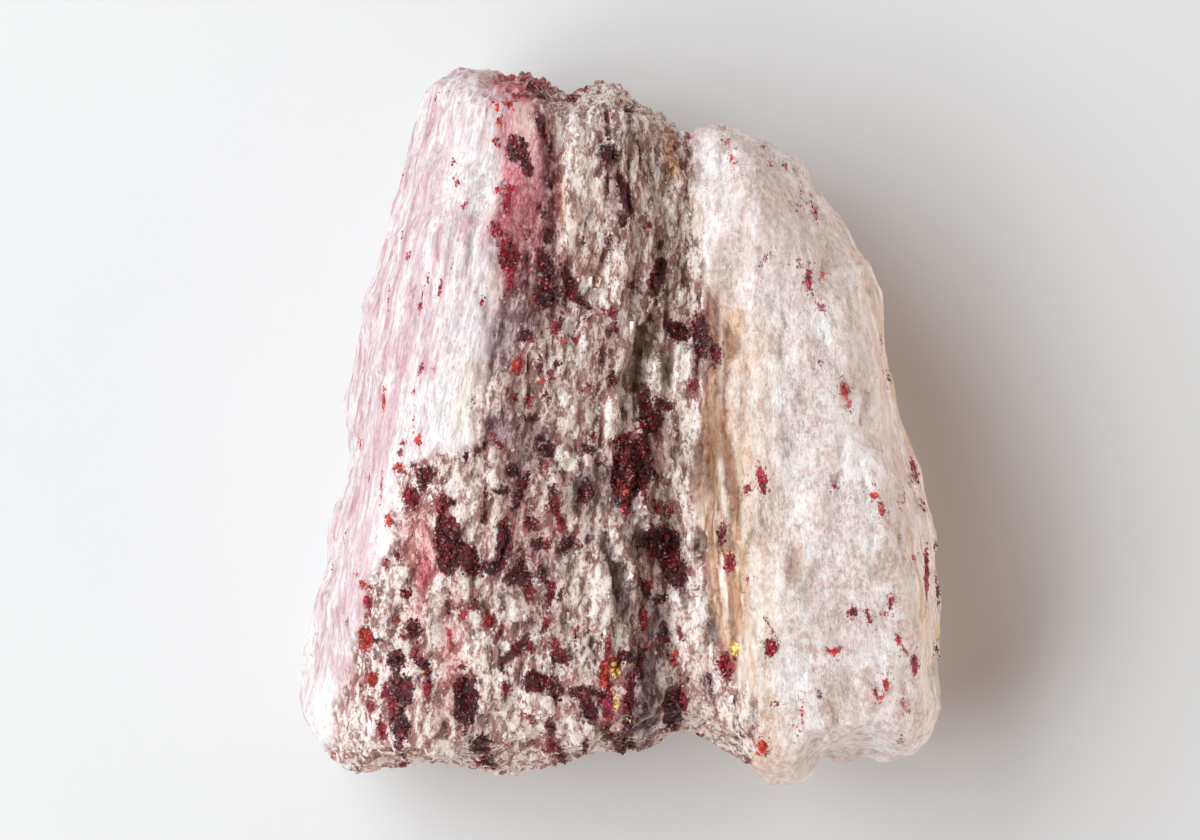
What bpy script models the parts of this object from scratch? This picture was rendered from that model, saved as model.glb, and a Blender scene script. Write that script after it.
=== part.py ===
"""A rough piece of columnar quartz with red mineral grains, lying on its flat broken base.

It is one natural solid. Tables are in millimetres and the scene is in metres, +Z up. The origin is at the
middle of the bounding box's base. The fibres of the quartz run along Y and fan out towards -Y, the wide end.
"""

from math import atan2, hypot, radians, sqrt

import bmesh
import bpy
from mathutils import Vector, noise

MM = 0.001

# The rim is the stone's widest outline seen from above, cut into four edges that meet at its corners: (x, y)
LEFT_EDGE = (
    (-19.1, -17.8), (-19.3, -16.3), (-18.8, -14.6), (-18.5, -11.9), (-17.9, -9.4), (-17.4, -6.7),
    (-16.8, -4.1), (-16.2, -0.9), (-16.4, 0.7), (-16.1, 2.3), (-15.6, 4.6), (-14.9, 7.8), (-14.2, 11.0),
    (-13.6, 13.3), (-12.8, 15.7), (-12.1, 18.0), (-11.6, 19.4), (-11.0, 20.5),
)
TOP_EDGE = (
    (-11.0, 20.5), (-9.4, 21.2), (-7.6, 21.2), (-5.3, 21.3), (-4.0, 20.9), (-3.0, 20.1), (-2.4, 20.5),
    (-0.7, 20.7), (0.7, 20.1), (1.4, 19.8), (2.6, 19.0), (3.7, 17.7), (4.3, 17.4), (5.3, 18.0),
    (6.2, 18.4), (7.4, 17.7), (9.2, 16.7), (10.7, 15.5), (12.4, 13.5), (13.9, 11.6), (15.1, 9.8),
)
RIGHT_EDGE = (
    (18.8, -18.4), (19.3, -16.9), (19.1, -14.6), (19.3, -12.5), (19.3, -10.2), (18.9, -7.3), (18.5, -4.7),
    (18.1, -2.4), (17.1, 0.2), (16.5, 3.2), (15.9, 5.8), (15.7, 8.1), (15.1, 9.8),
)
BOTTOM_EDGE = (
    (-19.1, -17.8), (-18.1, -19.0), (-16.6, -20.0), (-15.2, -20.6), (-14.0, -20.7), (-12.3, -20.6),
    (-10.0, -20.3), (-8.2, -20.6), (-5.3, -20.5), (-3.5, -20.4), (-2.1, -20.1), (-0.4, -19.7), (1.4, -19.4),
    (3.1, -18.7), (4.0, -18.4), (4.7, -18.8), (6.1, -19.3), (7.7, -20.4), (9.1, -21.1), (10.3, -21.3),
    (11.3, -21.0), (12.4, -19.7), (13.9, -19.5), (14.9, -19.3), (16.5, -19.9), (17.7, -19.7), (18.8, -18.4),
)

# The relief is a loft through lines that run along the stone, left to right. Each line is (x, height above
# the base) where it crosses the stations, from the narrow end to the wide end.
STATIONS = (19.0, 10.6, 1.6, -7.4, -16.4)
LINES = (
    ((-11.8, 9.5), (-14.2, 9.5), (-16.2, 9.0), (-17.6, 9.0), (-19.1, 8.5)),  # foot of the left flank
    ((-9.9, 13.2), (-12.0, 14.5), (-13.5, 15.0), (-14.9, 14.5), (-16.5, 13.0)),  # left shoulder
    ((-7.2, 15.6), (-7.8, 17.8), (-8.9, 18.6), (-11.0, 18.1), (-13.0, 16.4)),  # ridge
    ((-2.4, 15.6), (-2.4, 17.0), (-3.0, 17.2), (-4.6, 17.6), (-6.4, 16.8)),  # middle of the granular face
    ((1.8, 14.5), (2.0, 15.5), (1.2, 15.3), (0.8, 15.6), (0.6, 15.7)),  # foot of the granular face
    ((4.1, 13.4), (4.4, 14.3), (3.7, 13.9), (3.9, 13.6), (4.1, 14.1)),  # valley
    ((5.3, 13.8), (6.2, 15.2), (6.9, 15.8), (7.0, 16.0), (7.2, 16.0)),  # wall of the right lobe
    ((7.6, 13.8), (9.6, 15.9), (10.6, 16.8), (11.4, 17.0), (12.0, 16.5)),  # middle of the right lobe
    ((9.6, 11.2), (13.0, 14.0), (14.8, 16.2), (16.4, 16.9), (17.0, 15.9)),  # crest of the right lobe
    ((11.5, 8.2), (14.4, 10.6), (16.3, 13.8), (18.2, 15.7), (18.7, 14.4)),  # right shoulder
    ((13.5, 6.4), (15.3, 7.4), (17.0, 9.6), (18.9, 11.6), (19.3, 10.4)),  # foot of the right flank
)

WANDER = 0.7  # how far the lines wander sideways

# Section from the rim up to the relief and down to the base
RIM_HEIGHT = 6.2
RIM_SWELL = 1.6  # how far the rim rises and falls along its length
ROUNDING = 2.6  # width of the rounded edge between the rim and the relief
BASE_INSET = 3.0  # how far the base lies inside the rim
INSET_SWELL = 1.3  # how far the inset of the base varies around the stone
BULGE = 0.7  # how far the wall hollows below a straight line from the rim to the base

# Where the fibres would meet, beyond the narrow end
FAN_APEX = (3.3, 82.6)

# Broken facets: (width across the fibres, length along them, depth) of a grain, and how far it tilts
FACETS = (
    ((5.5, 10.0, 5.0), 1.35),
    ((2.4, 5.0, 2.4), 0.7),
)
FACET_BORDER = 0.3  # share of a grain over which its facet runs out into the next one
FACET_FADE = 1.5  # facets fade out over this height above the base, which stays flat

# Mesh density
COLUMNS = 52
ROWS = 58
WALL_RINGS = 5
SMALLEST_STEP = 0.4  # spacing at the rim as a share of the even spacing


def along(points, share):
    """The point at this share of a polyline's length, from 0 to 1."""
    lengths = [hypot(b[0] - a[0], b[1] - a[1]) for a, b in zip(points, points[1:])]
    left = share * sum(lengths)
    for a, b, length in zip(points, points[1:], lengths):
        if left <= length:
            return Vector(a).lerp(Vector(b), left / length)
        left -= length
    return Vector(points[-1])


def clustered(index, count):
    """Shares from 0 to 1 that lie closer together near both ends."""
    t = index / (count - 1)
    return SMALLEST_STEP * t + (1 - SMALLEST_STEP) * t * t * (3 - 2 * t)


def patch_point(s, r):
    """A point of the flat patch that the four edges bound: s runs left to right, r bottom to top."""
    bottom, top = along(BOTTOM_EDGE, s), along(TOP_EDGE, s)
    left, right = along(LEFT_EDGE, r), along(RIGHT_EDGE, r)
    corners = (
        Vector(BOTTOM_EDGE[0]) * (1 - s) * (1 - r)
        + Vector(BOTTOM_EDGE[-1]) * s * (1 - r)
        + Vector(TOP_EDGE[0]) * (1 - s) * r
        + Vector(TOP_EDGE[-1]) * s * r
    )
    return bottom * (1 - r) + top * r + left * (1 - s) + right * s - corners


def rim_distance(point):
    """How far a point lies inside the rim."""
    nearest = 1e9
    for edge in (LEFT_EDGE, TOP_EDGE, RIGHT_EDGE, BOTTOM_EDGE):
        for a, b in zip(edge, edge[1:]):
            a, b = Vector(a), Vector(b)
            share = (point - a).dot(b - a) / (b - a).length_squared
            nearest = min(nearest, (point - a.lerp(b, min(1, max(0, share)))).length)
    return nearest


def smooth(t):
    return t * t * (3 - 2 * t)


def section_at(y):
    """Where the relief lines cross this y, as (x, height) pairs from left to right."""
    y = min(STATIONS[0], max(STATIONS[-1], y))
    index = max(i for i in range(len(STATIONS) - 1) if STATIONS[i] >= y)
    t = (STATIONS[index] - y) / (STATIONS[index] - STATIONS[index + 1])
    pairs = []
    for line in LINES:
        (x0, z0), (x1, z1) = line[index], line[index + 1]
        pairs.append((x0 + (x1 - x0) * t, z0 + (z1 - z0) * smooth(t)))
    return pairs


def relief(point):
    """Height of the lofted top above the base, before its edge is rounded: a smooth curve across the lines."""
    section = section_at(point.y)
    x = point.x + WANDER * noise.noise(Vector((point.x * 0.1, point.y * 0.22, 3.1)))
    if not section[0][0] < x < section[-1][0]:
        return section[0 if x < 0 else -1][1]
    last = len(section) - 1
    i = max(i for i in range(last) if section[i][0] <= x)
    (x0, z0), (x1, z1) = section[i], section[i + 1]
    slope0 = slope(section[max(0, i - 1)], section[i + 1])
    slope1 = slope(section[i], section[min(last, i + 2)])
    t = (x - x0) / (x1 - x0)
    bend = (x1 - x0) * (slope0 * (1 - t) - slope1 * t) * t * (1 - t)
    return z0 + (z1 - z0) * smooth(t) + bend


def slope(a, b):
    return (b[1] - a[1]) / (b[0] - a[0])


def rim_height(point):
    return RIM_HEIGHT + RIM_SWELL * noise.noise(Vector((point.x, point.y, 0)) * 0.16)


def top_height(point):
    """Height of the top sheet: the relief, rounded down to the rim."""
    rim = rim_height(point)
    t = min(1.0, rim_distance(point) / ROUNDING)
    return rim + (relief(point) - rim) * sqrt(1 - (1 - t) ** 2)


def fan(point):
    """Coordinates across the fibres, along them and up, in millimetres."""
    dx, dy = point.x - FAN_APEX[0], FAN_APEX[1] - point.y
    return Vector((atan2(dx, dy) * FAN_APEX[1], hypot(dx, dy), point.z))


def facet(place):
    """Offset of the broken surface here: each grain of the quartz is cut off at its own tilt."""
    offset = 0.0
    for (across, lengthwise, depth), tilt in FACETS:
        cell = Vector((place.x / across, place.y / lengthwise, place.z / depth))
        distances, centres = noise.voronoi(cell)
        inside = smooth(min(1.0, (distances[1] - distances[0]) / FACET_BORDER))
        lean = noise.noise_vector(centres[0] * 7.3).dot(cell - centres[0])
        offset += tilt * lean * inside * 2
    return offset


def top_sheet(mesh):
    """A grid from rim to rim that carries the relief."""
    rows = []
    for j in range(ROWS):
        row = []
        for i in range(COLUMNS):
            flat = patch_point(clustered(i, COLUMNS), clustered(j, ROWS))
            row.append(mesh.verts.new((flat.x, flat.y, top_height(flat))))
        rows.append(row)
    for low, high in zip(rows, rows[1:]):
        for i in range(COLUMNS - 1):
            mesh.faces.new((low[i], low[i + 1], high[i + 1], high[i]))


def walls(mesh):
    """Extrudes the rim down in rings to the flat base. Returns the base's edges."""
    edges = [e for e in mesh.edges if e.is_boundary]
    centre = Vector((0, 0))
    for ring in range(1, WALL_RINGS + 1):
        made = bmesh.ops.extrude_edge_only(mesh, edges=edges)["geom"]
        edges = [g for g in made if isinstance(g, bmesh.types.BMEdge)]
        share = ring / WALL_RINGS
        before = (ring - 1) / WALL_RINGS
        for v in (g for g in made if isinstance(g, bmesh.types.BMVert)):
            flat = v.co.xy
            inward = (centre - flat).normalized()
            flat += inward * (inset(share, inward) - inset(before, inward))
            v.co.z *= (1 - share) / (1 - before)
            v.co.xy = flat
    return edges


def inset(share, inward):
    """How far inside the rim the wall stands, at this share of the way down."""
    base_inset = BASE_INSET + INSET_SWELL * noise.noise(inward.to_3d() * 2.1)
    return base_inset * share + BULGE * 4 * share * (1 - share) * share


def break_surface(mesh):
    """Moves every vertex above the base along its normal, to its grain's facet."""
    mesh.normal_update()
    moves = []
    for v in mesh.verts:
        fade = min(1.0, v.co.z / FACET_FADE)
        moves.append((v, v.normal * facet(fan(v.co)) * fade))
    for v, move in moves:
        v.co += move
        v.co.z = max(v.co.z, 0.0)


def centre_on_base(mesh):
    """Puts the origin at the middle of the bounding box's base."""
    xs, ys = [v.co.x for v in mesh.verts], [v.co.y for v in mesh.verts]
    middle = Vector(((min(xs) + max(xs)) / 2, (min(ys) + max(ys)) / 2, 0))
    bmesh.ops.translate(mesh, verts=mesh.verts, vec=-middle)


def quartz_material():
    """Milky pink quartz: the mean of its white, pink and dark red parts."""
    material = bpy.data.materials.new("quartz")
    material.use_nodes = True
    shader = material.node_tree.nodes["Principled BSDF"]
    shader.inputs["Base Color"].default_value = (0.66, 0.47, 0.45, 1)
    shader.inputs["Roughness"].default_value = 0.42
    shader.inputs["Metallic"].default_value = 0.0
    return material


def quartz_stone():
    mesh = bmesh.new()
    top_sheet(mesh)
    base_edges = walls(mesh)
    bmesh.ops.contextual_create(mesh, geom=base_edges)
    bmesh.ops.recalc_face_normals(mesh, faces=mesh.faces)
    break_surface(mesh)
    centre_on_base(mesh)
    bmesh.ops.scale(mesh, vec=(MM, MM, MM), verts=mesh.verts)
    data = bpy.data.meshes.new("quartz_stone")
    mesh.to_mesh(data)
    mesh.free()
    data.materials.append(quartz_material())
    data.shade_smooth()
    data.set_sharp_from_angle(angle=radians(30))
    stone = bpy.data.objects.new("quartz_stone", data)
    bpy.context.scene.collection.objects.link(stone)
    return stone


def main():
    for obj in list(bpy.data.objects):
        bpy.data.objects.remove(obj)
    quartz_stone()


main()
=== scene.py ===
"""The looks of a rough piece of columnar quartz with red mineral grains, seen from straight above.

Places and lengths are millimetres in the row frame: +X right, +Y along the fibres to the narrow end.
Colours in the tables are sRGB. Those of the material's layers and of the studio are linear.
"""

import math

import bpy
import numpy as np
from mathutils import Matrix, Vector
from mathutils.bvhtree import BVHTree

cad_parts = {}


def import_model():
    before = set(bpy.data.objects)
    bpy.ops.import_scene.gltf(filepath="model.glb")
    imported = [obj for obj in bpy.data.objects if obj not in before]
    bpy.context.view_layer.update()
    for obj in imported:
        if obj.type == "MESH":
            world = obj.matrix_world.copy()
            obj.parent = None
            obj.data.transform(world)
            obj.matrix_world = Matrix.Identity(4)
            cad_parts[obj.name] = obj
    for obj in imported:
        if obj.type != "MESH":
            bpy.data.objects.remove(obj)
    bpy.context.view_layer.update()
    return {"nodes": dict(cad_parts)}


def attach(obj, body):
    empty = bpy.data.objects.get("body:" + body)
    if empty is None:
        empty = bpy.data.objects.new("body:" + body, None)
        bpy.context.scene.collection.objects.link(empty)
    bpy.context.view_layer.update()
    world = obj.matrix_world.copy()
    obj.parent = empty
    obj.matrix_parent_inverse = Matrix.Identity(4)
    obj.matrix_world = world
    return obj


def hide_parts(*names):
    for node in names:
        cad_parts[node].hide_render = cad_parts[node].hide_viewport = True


MM = 0.001
RANDOM_SEED = 7
FAN_APEX = (3.3, 82.6)  # where the fibres would meet

# Fine body mesh
VOXEL = 0.165
WELD = 0.002
MOST_TRIANGLES = 196000
BASE_FADE = 1.5  # height over which the relief grows from nothing at the base
MIDDLE_SINK, SLAB_SINK = 0.25, 0.35  # how far these zones lie below the CAD surface

# Layered noise
OCTAVE_GAIN = 0.55
OCTAVE_SHIFT = 17.3

# Borders between the stone's zones, from the narrow end to the wide end: (y, x)
FLANK_EDGE = (
    (21.3, -7.8), (19.0, -5.4), (16.6, -4.8), (13.6, -5.2), (10.6, -6.2), (8.2, -7.2), (3.9, -7.8),
    (3.7, -8.3), (-0.8, -8.4), (-1.3, -9.0), (-1.5, -10.8), (-1.9, -11.8), (-2.6, -13.1), (-4.4, -13.3),
    (-6.8, -13.7), (-10.4, -15.2), (-14.0, -16.1), (-17.6, -16.9), (-21.2, -17.7),
)
SLAB_EDGE = (
    (21.3, 6.0), (8.5, 5.0), (7.0, 5.0), (4.6, 5.0), (1.6, 4.7), (-1.4, 4.3), (-4.4, 4.3), (-6.8, 5.0),
    (-10.4, 5.2), (-14.0, 6.1), (-16.4, 7.2), (-21.2, 8.0),
)
LOBE_EDGE = (
    (18.4, 4.8), (17.2, 4.3), (15.4, 4.2), (13.6, 4.4), (11.2, 4.7), (8.5, 5.0), (7.6, 5.6), (5.9, 6.5),
    (4.8, 7.0), (4.1, 6.8), (3.9, 6.4), (3.1, 6.4), (2.1, 6.1), (1.0, 6.2), (0.4, 6.5), (-0.1, 6.3),
    (-0.8, 6.7), (-2.6, 7.1), (-5.6, 7.3), (-8.0, 7.0), (-10.4, 7.3), (-12.8, 7.7), (-15.2, 8.2),
    (-17.6, 8.1), (-21.2, 7.8),
)
STRIP_EDGE = (
    (21.0, 11.0), (11.2, 13.5), (8.2, 14.4), (4.6, 14.9), (1.6, 15.5), (-1.4, 16.0), (-5.6, 16.6),
    (-10.4, 17.1), (-15.2, 18.1), (-21.0, 18.6),
)
LEFT_RIM = (
    (20.5, -11.0), (15.7, -12.8), (11.0, -14.2), (4.6, -15.6), (-0.9, -16.2), (-6.7, -17.4), (-11.9, -18.5),
    (-16.3, -19.3), (-21.0, -19.0),
)

COLOURS = {
    "white": (0.97, 0.945, 0.935),
    "cream_white": (0.96, 0.91, 0.86),
    "pink_white": (0.92, 0.87, 0.87),
    "pink": (0.84, 0.65, 0.68),
    "pink_mauve": (0.76, 0.58, 0.62),
    "cream": (0.84, 0.74, 0.69),
    "grey": (0.70, 0.66, 0.63),
    "mauve": (0.53, 0.37, 0.42),
    "mauve_dark": (0.47, 0.37, 0.37),
    "grey_mauve": (0.57, 0.45, 0.48),
    # Painted shade: brown is used only on the valley bottom's hollows, where deep shade lies
    "brown": (0.48, 0.38, 0.29),
    "brown_clear": (0.64, 0.51, 0.41),
    "tan_pale": (0.84, 0.75, 0.65),
    "deep_tan": (0.56, 0.37, 0.21),
    "tan": (0.78, 0.58, 0.42),
    "yellow_tan": (0.86, 0.75, 0.58),
    "peach": (0.90, 0.76, 0.64),
    "warm_tan": (0.84, 0.66, 0.48),
    "salmon": (0.86, 0.56, 0.54),
    "crimson": (0.78, 0.28, 0.35),
    "maroon": (0.66, 0.26, 0.33),
    "salmon_pale": (0.87, 0.68, 0.64),
    "wine": (0.40, 0.10, 0.16),
    "maroon_pink": (0.74, 0.40, 0.44),
    "dark_brown": (0.33, 0.24, 0.24),
    "dark_grey": (0.36, 0.26, 0.28),
    # Painted shade: the dark of the deep hollow below the slab, laid over the hollow in the relief
    "cavity": (0.25, 0.16, 0.10),
    "clear_brown": (0.74, 0.62, 0.55),
    "clear_pink": (0.87, 0.78, 0.76),
    "grey_clear": (0.76, 0.73, 0.70),
    "lobe": (0.87, 0.785, 0.76),
    "strip": (0.89, 0.80, 0.77),
    "halo": (0.74, 0.44, 0.46),
    "yellow": (0.93, 0.78, 0.35),
}

# Patches of these colours can be covered with frost
PALE = ("white", "cream_white", "pink_white", "cream", "tan_pale", "salmon_pale")

# How light each zone is, and its colours at rising values of its own pattern
ZONE_COLOURS = {
    "flank": (0.84, (-0.2, "white"), (0.25, "pink_white"), (0.7, "pink"), (1.2, "pink_mauve")),
    "middle": (
        (1.04, 0.94, 0.91), (-0.5, "mauve"), (-0.25, "clear_brown"), (0.0, "cream"), (0.25, "cream_white"),
    ),
    "slab": (0.9, (-0.35, "deep_tan"), (0.0, "tan"), (0.4, "tan_pale"), (0.8, "cream_white")),
    "lobe": (1.04, (-0.6, "clear_pink"), (-0.3, "lobe"), (0.1, "lobe"), (0.3, "white")),
    "tan_side": (1.0, (-0.4, "cream_white"), (0.0, "peach"), (0.35, "warm_tan")),
    "strip": (1.0, (-0.45, "white"), (0.0, "strip"), (0.45, "yellow_tan")),
}
SLAB_NARROW_END = np.array((0.56, 0.34, 0.22))  # how light the slab is at its two ends
SLAB_WIDE_END = np.array((1.12, 1.12, 1.16))

# Patches of another colour: (x, y, half width, half length, lean of the long axis towards +X in degrees,
# colour, strength). Later ones lie over earlier ones.
PATCHES = (
    # Upper left of the middle
    (-5.8, 13.8, 1.9, 6.0, -3, "maroon_pink", 0.9), (-5.4, 12.9, 1.3, 2.4, 0, "crimson", 0.7),
    (-6.5, 11.6, 0.7, 4.6, 0, "crimson", 0.9), (-5.9, 9.8, 0.9, 2.2, 0, "maroon", 0.8),
    (-5.3, 9.4, 1.6, 1.9, 0, "maroon", 0.85), (-7.7, 14.4, 0.7, 2.0, 5, "white", 0.8),
    (-5.2, 17.2, 0.8, 1.6, 0, "salmon_pale", 1.0), (-4.15, 13.5, 0.75, 4.7, -6, "maroon", 1.0),
    (-4.4, 8.4, 1.3, 1.6, -20, "maroon", 0.9), (-3.35, 12.8, 0.18, 2.6, -2, "tan", 0.9),
    (-5.8, 20.3, 2.2, 1.1, 0, "crimson", 1.0), (-6.6, 6.3, 1.5, 1.9, 0, "grey_mauve", 0.9),
    (-5.0, 6.4, 0.9, 1.2, 0, "mauve", 0.8), (-6.9, 4.4, 0.8, 2.4, 0, "grey_mauve", 0.8),
    (-4.5, 8.2, 1.4, 1.9, -35, "wine", 1.0), (-7.0, 10.4, 0.6, 1.5, 0, "wine", 0.7),
    (-6.9, 13.4, 0.3, 1.2, 0, "wine", 0.6), (-4.2, 11.2, 0.35, 2.2, 0, "wine", 0.7),
    (-4.3, 14.8, 0.3, 1.5, 0, "wine", 0.6),
    # Top and upper right of the middle
    (-1.4, 18.8, 2.0, 1.6, 0, "pink_white", 0.7), (-2.2, 13.4, 0.8, 3.6, -4, "cream_white", 0.95),
    (1.7, 16.8, 1.1, 2.0, 0, "brown_clear", 0.8), (3.2, 16.0, 0.45, 1.7, -8, "tan", 1.0),
    (2.6, 13.6, 0.9, 1.6, -10, "tan_pale", 0.7), (-0.4, 18.0, 0.3, 0.45, 0, "tan", 0.6),
    (1.1, 13.6, 0.28, 2.0, 0, "tan", 0.7), (-0.1, 13.3, 0.7, 1.9, -12, "grey_mauve", 0.7),
    (-2.6, 12.5, 0.3, 0.6, 0, "tan", 0.6), (-2.4, 9.4, 0.35, 0.6, 0, "tan", 0.7),
    (-1.5, 9.4, 0.5, 1.2, 0, "tan", 0.7), (2.2, 12.0, 0.9, 1.4, 0, "clear_brown", 0.8),
    (3.0, 9.6, 0.8, 1.5, 0, "brown_clear", 0.6), (1.4, 7.2, 1.4, 1.2, 0, "brown_clear", 0.7),
    (4.4, 12.4, 0.6, 1.4, 0, "tan_pale", 0.8),
    # Middle of the valley
    # The brown patch here is painted shade of the valley bottom
    (1.6, 4.4, 0.8, 1.8, 0, "brown", 0.7), (0.0, 3.4, 0.9, 1.8, 0, "tan_pale", 0.5),
    (3.0, -2.6, 1.0, 3.4, 0, "tan_pale", 0.85), (3.3, -0.6, 0.35, 2.0, 0, "brown_clear", 0.8),
    (2.7, -4.4, 0.35, 1.6, -5, "brown_clear", 0.8), (0.9, -2.0, 1.5, 2.8, 8, "maroon_pink", 0.7),
    (2.3, -7.0, 1.3, 1.3, 0, "mauve", 0.9), (3.4, -5.6, 0.7, 0.7, 0, "brown_clear", 0.6),
    (0.9, -6.4, 0.6, 1.6, -30, "grey_mauve", 0.9),
    # Left and centre of the granular face
    (-6.0, 0.4, 2.0, 2.2, 0, "mauve", 0.85), (-6.4, -3.0, 1.8, 1.6, 0, "mauve", 0.7),
    (-5.0, -5.8, 2.4, 2.0, 0, "maroon_pink", 0.5), (-2.0, -3.8, 1.5, 1.5, 25, "dark_brown", 0.9),
    (-2.6, -1.8, 1.2, 1.0, 20, "mauve", 0.7), (-4.9, -9.6, 2.2, 2.4, 0, "mauve", 0.6),
    (-5.4, 2.6, 1.2, 1.4, 0, "clear_brown", 0.5), (-2.6, 3.6, 1.2, 2.4, 0, "cream_white", 0.6),
    (-11.7, -6.8, 1.1, 2.6, -12, "salmon", 0.9), (-11.6, -8.9, 0.6, 1.05, 0, "crimson", 1.0),
    (-11.8, -11.0, 0.6, 1.2, 0, "salmon", 0.8), (-12.5, -3.0, 1.0, 1.6, -10, "pink_white", 0.7),
    (-9.2, -4.2, 0.9, 2.4, 0, "cream_white", 0.7), (-13.8, -10.4, 0.9, 3.0, 0, "pink_white", 0.6),
    # Lower left
    (-9.9, -13.6, 0.8, 5.2, 0, "salmon", 0.75), (-10.4, -18.2, 1.0, 1.5, 0, "salmon_pale", 0.7),
    (-8.2, -12.6, 0.9, 1.8, 0, "cream_white", 0.7), (-6.4, -17.6, 1.8, 1.5, 0, "tan_pale", 0.85),
    (-7.0, -15.6, 0.9, 1.2, 0, "tan_pale", 0.6), (-16.4, -15.2, 0.8, 1.5, 0, "pink_mauve", 0.8),
    (-17.7, -16.8, 0.9, 2.2, 10, "white", 0.9), (-13.5, -4.0, 0.8, 1.4, 0, "white", 0.7),
    (-14.2, -7.0, 0.9, 2.0, 0, "white", 0.6), (-14.6, -17.8, 1.2, 1.8, 5, "pink_white", 0.6),
    # Lower middle
    (-2.2, -18.0, 1.2, 1.4, 0, "cream_white", 0.8), (-2.9, -15.8, 1.8, 1.5, 0, "maroon_pink", 0.45),
    (0.0, -16.0, 1.2, 2.6, 0, "maroon_pink", 0.7), (1.3, -16.2, 0.85, 3.0, 0, "dark_grey", 1.0),
    (1.7, -12.2, 0.7, 2.6, 0, "dark_grey", 0.8), (2.0, -12.0, 0.65, 2.6, 0, "mauve", 0.9),
    (0.0, -11.8, 0.6, 1.6, 0, "cream_white", 0.7), (3.0, -14.9, 0.6, 1.2, 0, "grey_clear", 0.7),
    (5.2, -15.2, 0.35, 1.8, -12, "mauve", 0.8), (4.3, -16.6, 0.6, 2.0, 0, "clear_pink", 0.7),
    (3.1, -12.8, 0.5, 0.8, 0, "grey_clear", 0.8),
    # Slab
    (5.5, -1.6, 0.3, 2.8, -5, "deep_tan", 0.9), (6.45, -2.4, 0.2, 3.2, -9, "deep_tan", 0.85),
    (6.0, -3.7, 0.16, 2.2, -6, "cream_white", 0.7), (7.0, -3.0, 0.18, 3.6, -8, "tan_pale", 0.7),
    (5.9, 4.2, 0.2, 2.6, 0, "tan_pale", 0.6), (6.6, -9.5, 0.2, 3.0, -10, "tan", 0.6),
    (7.6, -10.5, 0.2, 3.6, -10, "tan", 0.5),
    # Flank
    (-9.0, 7.0, 1.5, 3.0, 8, "pink_white", 0.6), (-8.9, 1.5, 1.0, 2.6, 5, "cream_white", 0.6),
    (-9.6, 15.2, 1.0, 2.4, 8, "white", 0.6), (-12.2, 6.0, 0.6, 4.0, 10, "pink_mauve", 0.4),
    (-14.2, -1.0, 0.6, 3.6, 8, "pink_mauve", 0.5), (-11.2, 13.6, 0.7, 4.0, 12, "pink_mauve", 0.4),
    (-15.4, -8.5, 0.6, 4.0, 8, "pink_mauve", 0.5),
    # Lobe
    (8.6, 11.4, 2.2, 3.4, 0, "clear_pink", 0.75), (12.4, 11.0, 1.8, 2.6, 0, "clear_pink", 0.6),
    (13.4, 3.4, 1.2, 2.6, 0, "clear_pink", 0.6), (16.4, -3.6, 1.0, 2.4, -8, "clear_pink", 0.6),
    (13.0, -11.4, 2.2, 1.8, 0, "clear_pink", 0.6), (10.2, -8.0, 0.45, 1.1, 0, "clear_brown", 1.0),
    (11.0, -8.6, 0.4, 0.8, 10, "clear_brown", 0.8), (12.6, -15.9, 1.0, 1.6, 0, "clear_brown", 0.8),
    (10.6, -9.8, 0.4, 1.1, 0, "grey_clear", 0.8), (15.4, -8.2, 1.1, 1.0, 0, "clear_brown", 0.6),
    (7.5, 7.6, 0.6, 0.8, 0, "pink_white", 0.8), (8.6, 7.6, 0.3, 1.3, 0, "pink_white", 0.8),
    (13.6, -1.5, 0.9, 1.4, 0, "white", 0.95), (10.2, -1.9, 0.5, 1.3, 0, "white", 0.9),
    (13.8, 9.1, 0.7, 0.7, 0, "white", 0.9), (10.0, -14.8, 1.3, 1.8, 0, "white", 0.85),
    (5.9, 14.2, 0.3, 1.2, -15, "white", 0.9), (7.9, 13.5, 0.7, 1.3, 0, "clear_brown", 0.7),
    (7.8, 12.4, 0.4, 0.9, 0, "pink_white", 0.8), (6.1, 9.4, 0.9, 1.8, 0, "clear_brown", 0.7),
    (9.9, 7.6, 1.0, 1.8, 0, "clear_pink", 0.6), (9.5, -0.8, 0.6, 0.9, 0, "grey_clear", 0.7),
    (10.7, 1.7, 0.5, 1.0, 0, "clear_brown", 0.6), (7.6, -16.4, 0.18, 1.0, 0, "grey_clear", 0.9),
    (18.8, -15.1, 0.5, 1.9, 0, "grey_clear", 0.9),
)

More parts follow.
